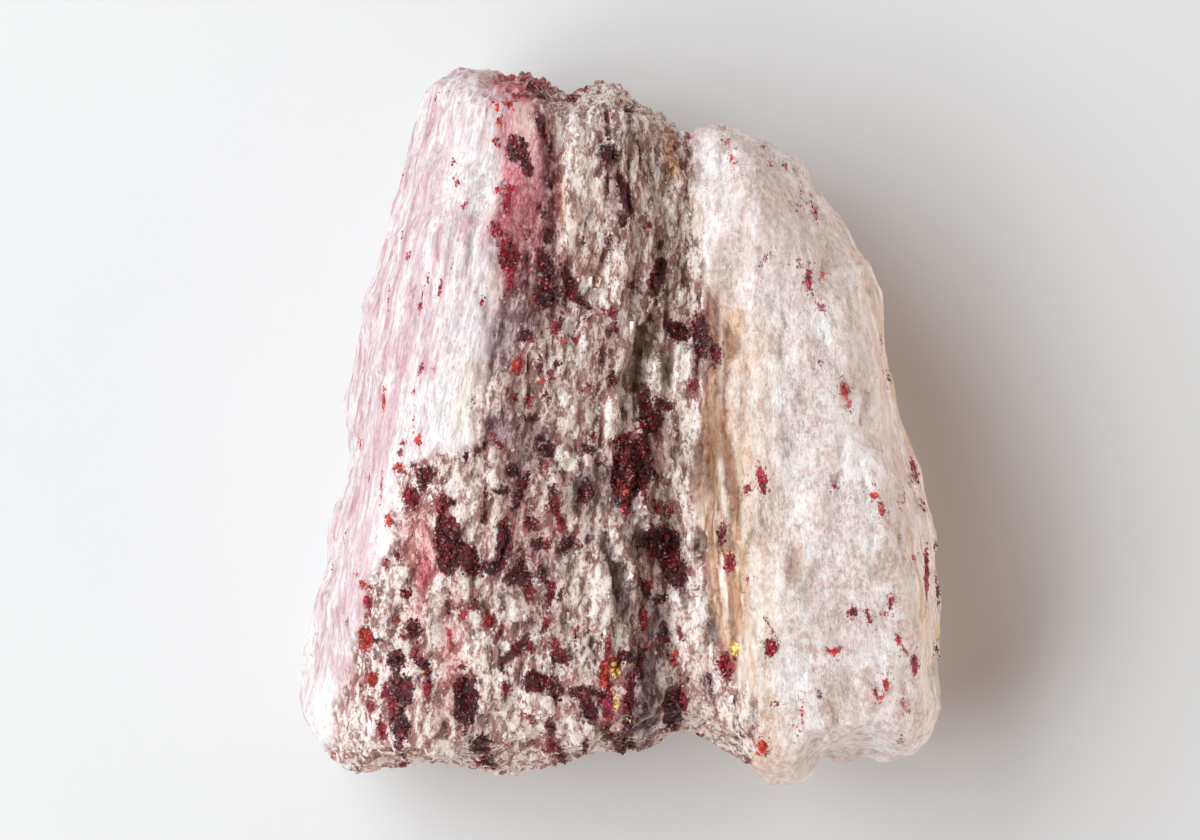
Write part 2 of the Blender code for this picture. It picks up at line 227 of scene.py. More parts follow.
# Clusters of red grains: (x, y, half width, half length, lean, kind, share of the patch that they cover)
CLUSTERS = (
    # Narrow end
    (-5.8, 20.7, 0.5, 0.2, 0, "red", 0.6), (-5.1, 20.2, 0.6, 0.35, -40, "red", 0.8),
    (-4.6, 19.5, 0.5, 0.3, 0, "dark", 0.8), (-5.9, 19.5, 0.4, 0.2, 0, "red", 0.7),
    (-7.3, 18.8, 0.2, 0.2, 0, "bright", 0.9), (-6.5, 18.8, 0.3, 0.35, 0, "bright", 0.7),
    (-7.1, 17.9, 0.2, 0.4, 0, "bright", 0.6), (-7.3, 16.7, 0.3, 0.3, 0, "red", 0.6),
    (-6.1, 16.3, 0.55, 0.7, -15, "dark", 1.0), (-5.5, 15.2, 0.3, 0.5, -10, "dark", 1.0),
    (-4.7, 17.8, 0.25, 0.6, -8, "dark", 0.9), (-4.4, 16.9, 0.08, 0.3, -30, "dark", 0.8),
    (-2.9, 19.5, 0.35, 0.3, 0, "red", 0.8), (-2.1, 20.1, 0.3, 0.15, 0, "magenta", 0.7),
    (-2.3, 20.6, 0.25, 0.15, 0, "magenta", 0.5), (-0.8, 18.3, 0.15, 0.3, 5, "red", 1.0),
    (-0.7, 17.3, 0.15, 0.4, 0, "dark", 1.0), (-0.7, 16.0, 0.5, 0.6, -10, "dark", 1.0),
    (-0.8, 14.4, 0.08, 1.0, -4, "dark", 0.8), (0.3, 13.6, 0.28, 1.2, -14, "dark", 1.0),
    (0.1, 12.1, 0.2, 0.5, 0, "dark", 0.6), (0.9, 19.4, 0.1, 0.25, 15, "red", 1.0),
    (0.6, 18.7, 0.3, 0.25, 0, "dark", 0.9), (4.0, 17.2, 0.15, 0.35, 0, "magenta", 0.7),
    # Left flank
    (-11.0, 19.6, 0.1, 0.25, 10, "magenta", 0.7), (-10.2, 20.0, 0.15, 0.2, 0, "bright", 0.4),
    (-9.8, 15.6, 0.08, 0.1, 0, "red", 1.0), (-9.6, 14.4, 0.08, 0.15, 0, "red", 1.0),
    (-12.8, 15.1, 0.12, 0.2, 0, "bright", 0.4), (-9.1, 13.0, 0.08, 0.3, 30, "magenta", 0.8),
    (-9.5, 11.0, 0.05, 0.15, 0, "red", 0.8), (-12.5, 10.0, 0.2, 0.4, 10, "magenta", 0.4),
    (-11.3, 8.7, 0.08, 0.2, 0, "red", 0.8), (-13.6, 8.3, 0.06, 0.2, 5, "red", 0.6),
    (-10.5, 8.3, 0.06, 0.3, 10, "red", 0.7), (-9.9, 9.2, 0.06, 0.5, 15, "magenta", 0.5),
    (-12.9, 11.2, 0.06, 0.8, 12, "magenta", 0.4), (-13.7, 7.6, 0.08, 0.6, 8, "magenta", 0.5),
    (-11.7, 7.3, 0.12, 0.7, 10, "red", 0.7), (-10.6, 7.9, 0.06, 0.4, 10, "red", 0.6),
    (-8.1, 7.2, 0.15, 0.4, 15, "red", 0.5), (-11.6, 3.5, 0.12, 0.7, 15, "magenta", 0.7),
    (-10.9, 3.4, 0.1, 0.2, 0, "magenta", 0.6), (-13.9, 1.6, 0.1, 0.6, 0, "bright", 0.7),
    (-12.1, 2.0, 0.12, 0.25, 15, "bright", 0.6), (-8.6, 1.7, 0.1, 0.3, 0, "red", 0.4),
    (-8.2, 1.0, 0.08, 0.08, 0, "red", 1.0), (-15.4, -1.1, 0.12, 0.45, 0, "bright", 0.5),
    (-14.0, -3.4, 0.08, 0.85, 3, "bright", 0.6), (-14.8, -3.0, 0.08, 0.2, 0, "magenta", 0.5),
    (-12.1, 0.2, 0.12, 0.5, 0, "bright", 0.5), (-16.3, -6.4, 0.06, 0.35, 10, "red", 0.7),
    (-17.2, -8.5, 0.06, 0.08, 0, "red", 0.8), (-16.1, -11.5, 0.12, 0.2, 0, "magenta", 0.5),
    # Upper middle
    (-7.2, 13.9, 0.15, 0.2, 0, "red", 0.9), (-6.5, 13.9, 0.2, 0.25, 0, "red", 0.8),
    (-6.6, 13.1, 0.2, 0.6, 0, "red", 0.9), (-7.3, 11.5, 0.35, 0.55, -10, "magenta", 0.9),
    (-6.5, 10.0, 0.6, 1.0, 0, "red", 0.9), (-6.4, 8.5, 0.25, 0.6, 0, "red", 0.9),
    (-6.7, 7.8, 0.1, 0.5, 15, "red", 0.8), (-4.6, 12.7, 0.35, 0.9, -10, "dark", 0.45),
    (-4.1, 14.2, 0.4, 0.5, 0, "dark", 0.45), (-4.3, 11.2, 0.4, 0.7, 0, "dark", 0.5),
    (-4.8, 9.5, 0.12, 0.5, 0, "red", 0.8), (-4.2, 9.1, 0.35, 1.2, -15, "dark", 0.9),
    (-4.3, 7.8, 0.65, 0.75, 0, "dark", 0.95), (-3.0, 8.4, 0.35, 1.0, -25, "dark", 0.9),
    (-2.6, 7.5, 0.2, 1.0, -55, "dark", 0.9), (-0.7, 10.8, 0.17, 0.35, -10, "dark", 0.9),
    (-2.2, 10.9, 0.08, 0.12, 0, "dark", 1.0), (1.6, 11.8, 0.25, 0.45, 0, "red", 0.6),
    (2.4, 10.7, 0.25, 0.25, 0, "dark", 0.5), (2.2, 8.8, 0.42, 1.15, 8, "dark", 1.0),
    (0.6, 8.3, 0.3, 0.25, 0, "dark", 0.8), (-5.2, 7.3, 0.12, 0.2, 20, "bright", 0.8),
    (-5.5, 5.3, 0.4, 0.35, 0, "dark", 0.9), (-5.9, 3.6, 0.4, 0.45, 20, "bright", 0.8),
    (-4.7, 3.5, 0.12, 0.45, 0, "dark", 1.0), (-3.7, 3.7, 0.2, 0.25, 10, "dark", 0.9),
    (-3.7, 5.9, 0.25, 0.6, 25, "magenta", 0.9), (-3.5, 5.0, 0.15, 0.35, 20, "bright", 0.7),
    (-2.6, 5.1, 0.1, 0.12, 0, "bright", 0.8), (-2.0, 6.4, 0.08, 0.12, 0, "dark", 1.0),
    (-1.0, 6.8, 0.08, 0.12, 0, "red", 1.0), (-0.5, 6.6, 0.15, 0.4, -15, "magenta", 0.9),
    (-0.5, 5.7, 0.25, 0.45, 20, "dark", 0.9), (-1.1, 4.3, 0.22, 0.4, 0, "dark", 1.0),
    (-1.0, 3.5, 0.1, 0.25, 0, "dark", 0.9), (-0.5, 2.9, 0.18, 0.3, 0, "dark", 1.0),
    (-1.4, 2.1, 0.12, 0.5, 30, "dark", 0.9), (-1.7, 2.4, 0.12, 0.12, 0, "red", 1.0),
    (-2.2, 2.2, 0.08, 0.1, 0, "red", 1.0), (-4.1, 3.1, 0.12, 0.3, 0, "magenta", 0.9),
    (-4.6, 2.6, 0.1, 0.15, 20, "bright", 0.9), (-4.4, 1.9, 0.1, 0.2, 0, "dark", 0.9),
    (-4.2, 1.5, 0.1, 0.3, 0, "dark", 0.9), (-5.4, 1.6, 0.15, 0.25, 0, "magenta", 1.0),
    (-6.3, 1.8, 0.25, 0.25, 0, "red", 0.5), (1.7, 6.4, 0.18, 0.2, 0, "dark", 1.0),
    (3.3, 5.6, 0.75, 0.45, 15, "dark", 0.95), (4.7, 5.6, 0.42, 1.2, -5, "dark", 1.0),
    (5.6, 4.4, 0.28, 0.65, 0, "dark", 0.95), (4.5, 3.3, 0.08, 0.75, 0, "dark", 0.9),
    (4.3, 2.3, 0.25, 0.3, 0, "red", 0.9), (1.4, 1.4, 0.32, 0.9, 0, "dark", 1.0),
    (2.4, 1.3, 0.5, 0.28, 20, "dark", 0.9), (-5.3, 0.5, 0.5, 0.35, 0, "dark", 0.35),
    # Middle
    (-7.9, -1.0, 0.15, 0.45, 35, "dark", 0.9), (-7.2, -0.9, 0.15, 0.45, -40, "red", 0.9),
    (-9.0, -1.7, 0.12, 0.2, 0, "dark", 0.8), (-6.3, -2.5, 0.7, 0.7, 0, "dark", 0.4),
    (-6.8, -3.7, 0.5, 0.4, 0, "dark", 0.45), (-5.8, -3.6, 0.3, 1.0, 22, "dark", 1.0),
    (-7.9, -4.3, 0.08, 0.9, 0, "dark", 0.8), (-8.0, -5.3, 0.25, 0.35, 0, "dark", 0.5),
    (-6.8, -6.5, 0.5, 1.2, 0, "dark", 1.0), (-5.3, -5.7, 0.4, 0.4, 10, "red", 0.9),
    (-4.6, -0.7, 0.3, 0.15, 30, "dark", 0.9), (-4.3, -1.3, 0.45, 0.35, -20, "dark", 0.9),
    (-4.4, -2.4, 0.18, 0.4, 0, "bright", 0.9), (-3.9, -3.8, 0.17, 0.35, -10, "dark", 1.0),
    (-3.8, -4.7, 0.35, 0.7, -10, "red", 0.9), (-3.5, -5.6, 0.2, 0.6, -10, "red", 0.9),
    (-3.4, -2.6, 0.2, 0.5, 0, "dark", 0.5), (-1.6, -0.6, 0.22, 0.25, 0, "red", 0.9),
    (-1.8, -1.3, 0.4, 0.3, 0, "dark", 0.9), (-1.3, -2.0, 0.3, 0.4, 0, "dark", 0.5),
    (-2.0, -3.8, 1.1, 1.1, 25, "dark", 0.5), (0.9, -2.3, 1.0, 2.1, 8, "dark", 0.9),
    (0.4, -1.1, 0.8, 0.8, 0, "red", 0.8), (1.8, 0.3, 0.7, 0.6, 0, "dark", 1.0),
    (0.4, -4.4, 0.35, 0.75, -5, "bright", 0.8), (-0.2, -2.9, 0.3, 1.2, 0, "dark", 1.0),
    (1.4, -4.1, 0.15, 0.4, 0, "red", 0.9), (2.1, -4.7, 0.12, 0.4, 0, "red", 0.9),
    (2.1, -2.9, 0.1, 0.12, 0, "dark", 1.0), (2.9, -4.9, 0.15, 0.35, 0, "red", 0.8),
    (2.3, -6.8, 1.15, 0.9, -25, "dark", 0.9), (3.2, -8.6, 0.65, 0.95, -10, "dark", 1.0),
    (2.9, -7.7, 0.6, 0.6, 0, "dark", 1.0), (-5.9, -7.0, 0.15, 0.2, 0, "red", 0.9),
    (-4.9, -6.8, 0.4, 0.3, 35, "dark", 0.9), (-4.3, -6.8, 0.15, 0.25, 0, "red", 1.0),
    (-3.2, -6.9, 0.3, 0.6, 30, "dark", 1.0), (-2.5, -7.0, 0.25, 0.3, 0, "red", 0.5),
    (-5.8, -7.8, 0.3, 0.5, 15, "dark", 0.9), (-6.1, -8.7, 0.85, 0.55, -20, "dark", 0.85),
    (-5.3, -9.5, 0.2, 0.55, -10, "red", 0.9), (-4.5, -8.5, 0.35, 0.75, -10, "dark", 0.6),
    (-4.1, -9.3, 0.3, 0.25, 20, "red", 0.9), (-4.2, -10.1, 0.28, 0.6, 10, "dark", 0.9),
    (-3.5, -9.8, 0.15, 0.3, 0, "dark", 0.9), (-4.3, -11.3, 0.16, 0.35, 0, "red", 0.9),
    (-4.6, -11.9, 0.1, 0.2, 45, "dark", 0.9), (-5.2, -11.3, 0.2, 0.4, 0, "dark", 0.35),
    # Left of the middle
    (-11.8, -0.8, 0.25, 0.3, -15, "bright", 0.8), (-12.7, -0.9, 0.08, 0.08, 0, "red", 1.0),
    (-12.9, -1.5, 0.12, 0.12, 30, "red", 0.9), (-13.1, -2.3, 0.3, 0.15, 0, "bright", 0.8),
    (-12.7, -2.6, 0.2, 0.2, 0, "red", 0.6), (-12.1, -2.2, 0.2, 0.15, 0, "dark", 0.9),
    (-11.3, -2.8, 0.7, 0.65, -20, "dark", 0.85), (-11.4, -3.4, 0.25, 0.35, 0, "dark", 1.0),
    (-12.2, -4.1, 0.45, 0.62, -10, "red", 1.0), (-13.6, -5.5, 0.3, 0.35, -10, "bright", 0.7),
    (-10.4, -4.5, 0.4, 0.65, 0, "red", 0.8), (-9.8, -4.4, 0.2, 0.2, 0, "dark", 1.0),
    (-10.1, -5.8, 0.6, 0.5, 0, "dark", 1.0), (-10.0, -6.9, 0.85, 1.4, -10, "dark", 1.0),
    (-8.8, -7.7, 0.45, 0.75, 0, "dark", 1.0), (-7.5, -8.2, 0.7, 0.45, 0, "dark", 0.9),
    (-13.0, -7.5, 0.15, 0.2, 0, "red", 0.9), (-13.7, -7.9, 0.15, 0.2, 0, "red", 0.8),
    (-15.5, -8.7, 0.08, 0.1, 0, "bright", 0.8), (-15.1, -9.3, 0.18, 0.3, 0, "bright", 0.8),
    (-14.5, -9.5, 0.18, 0.15, 0, "red", 0.8), (-14.8, -10.3, 0.25, 0.35, 0, "magenta", 0.9),
    (-14.7, -10.9, 0.06, 0.4, -10, "red", 0.9), (-14.9, -12.5, 0.42, 0.65, 0, "bright", 0.95),
    (-14.2, -12.5, 0.2, 0.2, 0, "dark", 0.8), (-13.1, -11.3, 0.15, 0.18, 0, "bright", 0.6),
    (-12.5, -9.7, 0.42, 0.42, 0, "red", 0.6), (-10.1, -10.4, 0.17, 0.5, 0, "dark", 0.9),
    (-9.2, -11.0, 0.2, 0.2, 0, "bright", 0.8), (-8.5, -10.3, 0.35, 0.4, 0, "red", 0.8),
    (-10.0, -12.2, 0.1, 0.4, -15, "bright", 0.9), (-12.2, -11.8, 0.42, 0.6, 0, "dark", 0.85),
    (-12.7, -12.3, 0.25, 0.15, 0, "red", 0.9),
    # Lower left
    (-13.1, -13.6, 0.45, 0.42, 0, "dark", 1.0), (-13.1, -14.4, 0.15, 0.3, 0, "dark", 1.0),
    (-12.6, -15.5, 0.65, 0.85, 0, "dark", 1.0), (-12.8, -16.4, 0.12, 0.3, 0, "dark", 1.0),
    (-12.8, -17.5, 0.5, 0.85, 0, "dark", 1.0), (-13.0, -18.6, 0.3, 0.4, 0, "dark", 0.9),
    (-12.7, -19.2, 0.15, 0.3, -20, "dark", 0.9), (-12.9, -20.1, 0.35, 0.2, 0, "red", 0.9),
    (-12.0, -13.2, 0.22, 0.4, 0, "red", 1.0), (-11.6, -13.8, 0.25, 0.35, -15, "dark", 1.0),
    (-11.3, -14.3, 0.25, 0.4, -15, "dark", 1.0), (-11.3, -15.2, 0.3, 0.7, 0, "magenta", 0.9),
    (-13.7, -15.5, 0.25, 0.4, 0, "magenta", 0.9), (-13.4, -16.6, 0.22, 0.6, 0, "red", 0.9),
    (-14.0, -17.6, 0.25, 0.55, -5, "red", 1.0), (-14.6, -14.8, 0.35, 0.4, 0, "bright", 0.8),
    (-14.7, -16.4, 0.22, 0.28, 0, "red", 0.9), (-17.0, -19.5, 0.4, 0.2, -60, "bright", 0.6),
    (-9.1, -16.0, 0.65, 1.4, 0, "dark", 1.0), (-9.3, -14.0, 0.2, 0.15, 0, "red", 1.0),
    (-8.2, -18.6, 0.65, 0.5, 0, "dark", 0.9), (-7.7, -19.8, 0.5, 0.5, -20, "dark", 0.8),
    (-8.5, -19.9, 0.3, 0.2, 0, "red", 0.8), (-7.7, -11.3, 0.38, 0.5, 15, "bright", 0.8),
    (-7.0, -11.9, 0.12, 0.45, 25, "red", 0.9), (-7.3, -12.5, 0.1, 0.15, 0, "red", 0.9),
    (-6.2, -13.0, 0.33, 0.8, 40, "dark", 1.0), (-5.3, -12.8, 0.25, 0.35, 0, "red", 0.9),
    (-3.8, -12.6, 0.3, 0.35, 0, "red", 0.9), (-3.4, -13.4, 0.55, 0.45, -30, "dark", 1.0),
    (-2.4, -11.6, 0.18, 0.15, 0, "bright", 0.9), (-2.6, -12.2, 0.1, 0.3, 0, "dark", 0.9),
    (-2.0, -11.9, 0.1, 0.06, 0, "red", 1.0), (-6.9, -13.7, 0.12, 0.4, 0, "dark", 0.9),
    (-6.7, -15.3, 0.28, 0.4, -15, "red", 0.8), (-5.1, -14.8, 0.75, 0.6, 20, "dark", 0.85),
    (-3.9, -15.0, 0.4, 0.85, -10, "dark", 0.95), (-2.2, -15.5, 0.7, 0.35, 0, "dark", 1.0),
    (-1.8, -16.6, 0.42, 0.65, -5, "dark", 0.95), (-4.1, -17.5, 0.25, 0.55, 5, "dark", 0.9),
    (-4.1, -18.7, 0.3, 0.55, 0, "red", 0.9), (-3.5, -19.4, 0.25, 0.6, -10, "dark", 0.9),
    (-5.3, -17.0, 0.2, 0.3, -30, "red", 0.7), (-6.7, -18.7, 0.12, 0.12, 0, "bright", 1.0),
    (-4.9, -18.6, 0.1, 0.1, 0, "red", 0.9), (-5.0, -20.3, 0.12, 0.12, 0, "bright", 0.8),
    (-2.1, -18.7, 0.22, 0.5, 0, "dark", 0.9),
    # Lower middle
    (-0.7, -12.7, 0.17, 0.5, 0, "bright", 0.9), (0.3, -13.4, 0.5, 0.33, 20, "dark", 0.95),
    (-0.4, -13.7, 0.45, 0.33, 0, "red", 0.9), (-0.9, -14.7, 0.32, 0.7, -10, "bright", 1.0),
    (-0.9, -16.0, 0.45, 0.5, 0, "magenta", 1.0), (-0.7, -17.0, 0.27, 0.6, -8, "red", 1.0),
    (-0.8, -18.0, 0.36, 0.5, 0, "dark", 0.95), (0.5, -15.8, 0.35, 1.2, 5, "red", 0.9),
    (0.2, -18.8, 0.6, 0.85, 10, "dark", 1.0), (0.4, -17.5, 0.3, 0.5, 10, "dark", 0.8),
    (1.1, -14.1, 0.25, 1.0, 5, "dark", 0.9), (1.5, -16.4, 0.8, 2.7, 0, "dark", 0.22),
    (1.4, -9.5, 0.2, 0.55, -20, "dark", 0.9), (1.7, -9.3, 0.15, 0.25, 0, "bright", 1.0),
    (2.1, -10.2, 0.4, 0.4, 0, "dark", 0.5), (2.6, -10.1, 0.1, 0.25, 0, "dark", 0.9),
    (1.3, -11.4, 0.25, 0.55, 0, "red", 0.9), (2.5, -12.2, 0.33, 0.55, -10, "dark", 0.9),
    (3.5, -12.1, 0.15, 0.35, -20, "red", 0.9), (1.5, -12.8, 0.2, 0.4, 0, "bright", 0.7),
    (3.1, -13.7, 0.17, 0.5, 15, "bright", 0.8), (3.5, -14.8, 0.06, 0.7, -10, "red", 0.8),
    (3.1, -16.6, 0.6, 1.1, 0, "dark", 0.95), (3.8, -16.2, 0.15, 0.6, -10, "magenta", 0.8),
    (4.6, -18.7, 0.35, 0.5, 0, "red", 0.9), (4.0, -14.8, 0.3, 0.3, 0, "dark", 0.4),
    (5.3, -15.3, 0.2, 1.2, -10, "dark", 0.25), (6.2, -13.9, 0.45, 0.65, 0, "red", 0.9),
    # Slab and right lobe
    (6.1, 18.1, 0.06, 0.06, 0, "magenta", 1.0), (6.2, 17.7, 0.05, 0.12, 0, "magenta", 0.6),
    (6.3, 16.8, 0.12, 0.15, 0, "bright", 1.0), (6.6, 15.8, 0.1, 0.3, -15, "bright", 0.9),
    (8.5, 16.6, 0.1, 0.06, 0, "dark", 0.9), (8.8, 15.6, 0.08, 0.15, 10, "red", 0.9),
    (9.8, 15.5, 0.15, 0.15, 0, "magenta", 0.4), (10.7, 14.0, 0.05, 0.25, 5, "bright", 0.9),
    (10.5, 13.1, 0.12, 0.15, 0, "magenta", 0.7), (11.5, 12.8, 0.13, 0.5, -12, "magenta", 1.0),
    (11.0, 8.5, 0.22, 0.6, 0, "magenta", 0.95), (11.8, 8.9, 0.3, 0.6, 0, "bright", 0.25),
    (11.8, 7.0, 0.08, 0.08, 0, "magenta", 0.9), (10.4, 9.4, 0.05, 0.06, 0, "magenta", 1.0),
    (8.5, 9.9, 0.07, 0.1, 0, "magenta", 0.7), (13.1, 2.2, 0.2, 0.3, -15, "bright", 0.9),
    (13.3, 1.4, 0.1, 0.35, 0, "bright", 0.9), (11.8, 3.8, 0.05, 0.08, 0, "magenta", 1.0),
    (8.3, -3.2, 0.23, 0.55, -5, "red", 1.0), (8.1, -2.6, 0.1, 0.35, 0, "red", 1.0),
    (7.4, -3.6, 0.12, 0.28, -5, "red", 0.9), (5.9, -6.4, 0.22, 0.6, 5, "dark", 1.0),
    (6.4, -8.0, 0.27, 0.5, -8, "red", 1.0), (7.4, -8.9, 0.06, 0.08, 0, "bright", 1.0),
    (12.5, -3.5, 0.15, 0.35, 10, "magenta", 0.7), (15.6, 4.9, 0.1, 0.3, -5, "red", 0.8),
    (15.9, 3.1, 0.1, 0.3, -5, "dark", 0.8), (17.5, -2.6, 0.22, 0.75, -12, "magenta", 1.0),
    (17.2, -3.2, 0.06, 0.2, 0, "magenta", 0.8), (17.9, -4.6, 0.15, 0.3, -15, "red", 0.9),
    (14.8, -4.0, 0.5, 0.4, 0, "bright", 0.22), (15.2, -4.9, 0.2, 0.35, 0, "bright", 0.6),
    (16.5, -4.3, 0.1, 0.3, 0, "magenta", 0.4), (18.0, -8.7, 0.14, 1.6, 0, "magenta", 0.9),
    (19.0, -9.6, 0.15, 0.8, -5, "dark", 0.9), (18.7, -7.0, 0.08, 0.2, 0, "dark", 0.9),
    (17.2, -7.7, 0.06, 0.06, 0, "bright", 1.0), (15.8, -10.3, 0.1, 0.25, 0, "red", 0.9),
    (15.4, -10.9, 0.1, 0.1, 0, "bright", 1.0), (13.6, -10.8, 0.38, 0.38, 0, "red", 0.6),
    (14.5, -11.1, 0.08, 0.4, -20, "red", 0.8), (12.5, -13.1, 0.25, 0.2, 0, "bright", 0.8),
    (16.2, -12.4, 0.1, 0.3, -10, "bright", 0.9), (16.6, -13.0, 0.1, 0.4, -30, "red", 0.7),
    (17.2, -13.9, 0.28, 0.6, -10, "magenta", 0.55), (15.5, -15.1, 0.2, 0.35, 10, "bright", 0.95),
    (14.9, -15.4, 0.2, 0.3, 0, "bright", 0.9), (15.2, -15.8, 0.12, 0.2, 0, "bright", 0.8),
    (16.6, -16.3, 0.2, 0.4, -30, "magenta", 0.5), (16.5, -18.4, 0.12, 0.25, 0, "bright", 0.6),
    (18.8, -13.3, 0.2, 0.25, 0, "dark", 0.8), (19.1, -13.9, 0.08, 0.3, 0, "dark", 0.9),
    (11.7, -15.7, 0.1, 0.1, 0, "dark", 1.0), (9.1, -16.1, 0.06, 0.1, 0, "magenta", 0.9),
    (10.6, -16.5, 0.06, 0.6, 0, "bright", 0.6), (8.8, -12.9, 0.35, 0.5, 10, "red", 0.8),
    (8.5, -11.3, 0.08, 0.25, -30, "red", 0.8), (8.3, -18.8, 0.3, 0.5, 0, "bright", 0.9),
    (10.4, -17.7, 0.08, 0.2, 0, "bright", 0.8),
)

# Yellow flakes, laid out as the clusters are
YELLOW = (
    (-0.4, -14.3, 0.35, 0.35, 0, "yellow", 0.6), (-0.2, -15.9, 0.12, 0.5, 0, "yellow", 0.7),
    (0.8, -13.8, 0.15, 0.15, 0, "yellow", 0.7), (6.7, -12.9, 0.18, 0.35, -10, "yellow", 0.8),
    (-4.5, -2.6, 0.06, 0.2, 0, "yellow", 0.9), (1.0, 0.1, 0.12, 0.15, 0, "yellow", 0.9),
    (-11.6, -14.3, 0.1, 0.1, 0, "yellow", 0.8), (0.5, -17.1, 0.1, 0.15, 0, "yellow", 0.8),
)

# Colours of a grain of each kind: its dark parts, its light parts and how often it is light. The light parts
# are painted light, red glints and light through the crystals; the dark, grains out of the light
GRAIN_COLOURS = {
    "dark": ((0.20, 0.035, 0.065), (0.52, 0.07, 0.12), 0.36),
    "red": ((0.32, 0.05, 0.085), (0.66, 0.13, 0.15), 0.45),
    "bright": ((0.52, 0.08, 0.09), (0.80, 0.26, 0.18), 0.45),
    "magenta": ((0.40, 0.05, 0.14), (0.70, 0.18, 0.28), 0.4),
    "yellow": ((0.85, 0.62, 0.20), (0.98, 0.88, 0.55), 0.5),
}
STAIN_COLOURS = {
    "dark": (0.29, 0.055, 0.085), "red": (0.47, 0.08, 0.11), "bright": (0.62, 0.13, 0.12),
    "magenta": (0.53, 0.10, 0.20), "yellow": (0.92, 0.74, 0.30),
}
HALO_REACH = 1.2  # how far a cluster tints the quartz around it
GRAIN_SIZE = (0.06, 0.17)  # smallest and largest radius
GRAIN_PACKING = 1.3  # how many times over the grains would cover a full cluster
MANY = 0.85  # clusters narrower than this share of the full grain size hold only grains painted as lit
GRAIN_SPREAD = 1.25  # how far past a cluster's ellipse its grains may lie
CLUSTER_GROWTH = 0.07  # added to the share that a cluster covers

# Crystals, hollows and steps that stand out: (x, y, half width, half length, lean, height, colour or None)
FEATURES = (
    (-1.4, 13.0, 1.8, 4.6, -3, 0.4, None), (-5.8, 20.3, 2.3, 1.1, 0, -0.5, None),
    (-1.0, -10.0, 0.52, 2.15, 2, 0.5, "white"), (3.8, 3.5, 0.66, 1.4, 0, 0.6, "white"),
    (2.0, 2.9, 0.42, 1.5, 0, 0.45, "cream_white"), (2.8, 3.5, 0.35, 0.9, 0, -0.1, "grey"),
    (4.2, -11.4, 0.9, 1.8, 0, 0.45, "cream_white"), (3.5, -10.0, 0.5, 0.5, 20, 0.5, "white"),
    # The deep hollow below the slab is cut into the relief, and its dark colour is painted shade
    (4.5, -7.1, 0.32, 1.0, 0, -0.9, "cavity"), (0.1, -9.6, 0.5, 1.8, -10, -0.3, "mauve_dark"),
    (-0.7, -7.1, 0.5, 0.85, -15, -0.3, "mauve_dark"), (5.4, -12.0, 0.35, 0.8, -10, -0.3, "mauve_dark"),
    # These hollows of the valley bottom are cut into the relief, and their brown is painted shade
    (1.3, 4.9, 0.6, 1.1, 0, -0.4, "brown"), (1.0, 2.9, 0.55, 0.9, 0, -0.3, "brown"),
    (1.4, -0.8, 0.35, 0.5, -15, 0.15, "pink_white"), (1.4, -2.6, 0.3, 0.5, -10, 0.1, "grey_mauve"),
    (1.3, -4.3, 0.45, 0.6, 0, 0.35, "pink_white"), (1.7, -5.5, 0.7, 0.6, 30, 0.35, "white"),
    (-3.0, -2.2, 0.45, 0.6, 0, 0.3, "cream_white"), (-1.8, -2.0, 0.2, 0.45, 0, 0.3, "white"),
    (-3.4, -1.5, 0.35, 0.5, 15, 0.25, "cream_white"), (-4.8, 4.5, 0.5, 0.5, 0, 0.25, "white"),
    (-2.2, -18.1, 0.7, 0.9, 0, 0.4, "white"), (-4.7, -16.4, 0.8, 0.8, 10, 0.3, "cream_white"),
    (-2.6, 17.3, 0.45, 0.9, 8, 0.3, "white"), (-2.2, 15.4, 0.3, 0.6, -10, 0.25, "white"),
    (1.2, 18.0, 0.4, 0.4, 0, 0.25, "white"), (2.9, 18.9, 0.5, 0.5, 0, 0.25, "white"),
    (3.0, 16.0, 0.4, 1.4, -8, 0.1, "tan"), (-13.6, -6.8, 0.5, 0.7, 0, 0.3, "white"),
    (-13.0, -8.7, 0.6, 0.7, 20, 0.3, "cream_white"), (-10.6, -9.2, 0.3, 0.5, 0, 0.25, "white"),
    (-7.2, -0.2, 0.8, 0.9, 0, -0.1, "mauve"), (13.6, -1.8, 0.6, 1.2, -5, 0.1, "white"),
    (7.5, 7.6, 0.45, 0.8, 0, 0.1, None), (10.2, -7.9, 0.4, 1.0, 0, -0.15, "clear_brown"),
    (-4.2, 1.6, 0.35, 1.1, 5, 0.2, "cream_white"), (-3.0, 1.0, 0.4, 1.2, -5, 0.25, "cream_white"),
    (-0.4, 0.9, 0.4, 1.4, 5, 0.2, "cream_white"), (-5.9, -1.8, 0.3, 0.8, 0, 0.15, "grey_mauve"),
    (-8.9, -4.6, 0.5, 1.4, 5, 0.25, "cream_white"), (-7.4, -3.3, 0.4, 0.8, -10, 0.2, "white"),
    (-3.3, -8.4, 0.4, 0.9, 0, 0.25, "white"), (-2.6, -9.4, 0.35, 0.8, 5, 0.2, "cream_white"),
    (-5.9, -10.6, 0.5, 0.7, 0, 0.3, "white"), (-8.3, -13.3, 0.6, 0.9, 0, 0.25, "cream_white"),
    (-4.4, -14.0, 0.4, 0.4, 0, 0.3, "white"), (-10.9, -12.0, 0.4, 0.9, 0, 0.25, "cream_white"),
    (-10.4, -19.0, 0.7, 0.7, 0, 0.25, "white"),
)

END_FACE = (-5.8, 20.4, 2.3, 1.4, 0)  # the red broken face, whose marks run over the rim

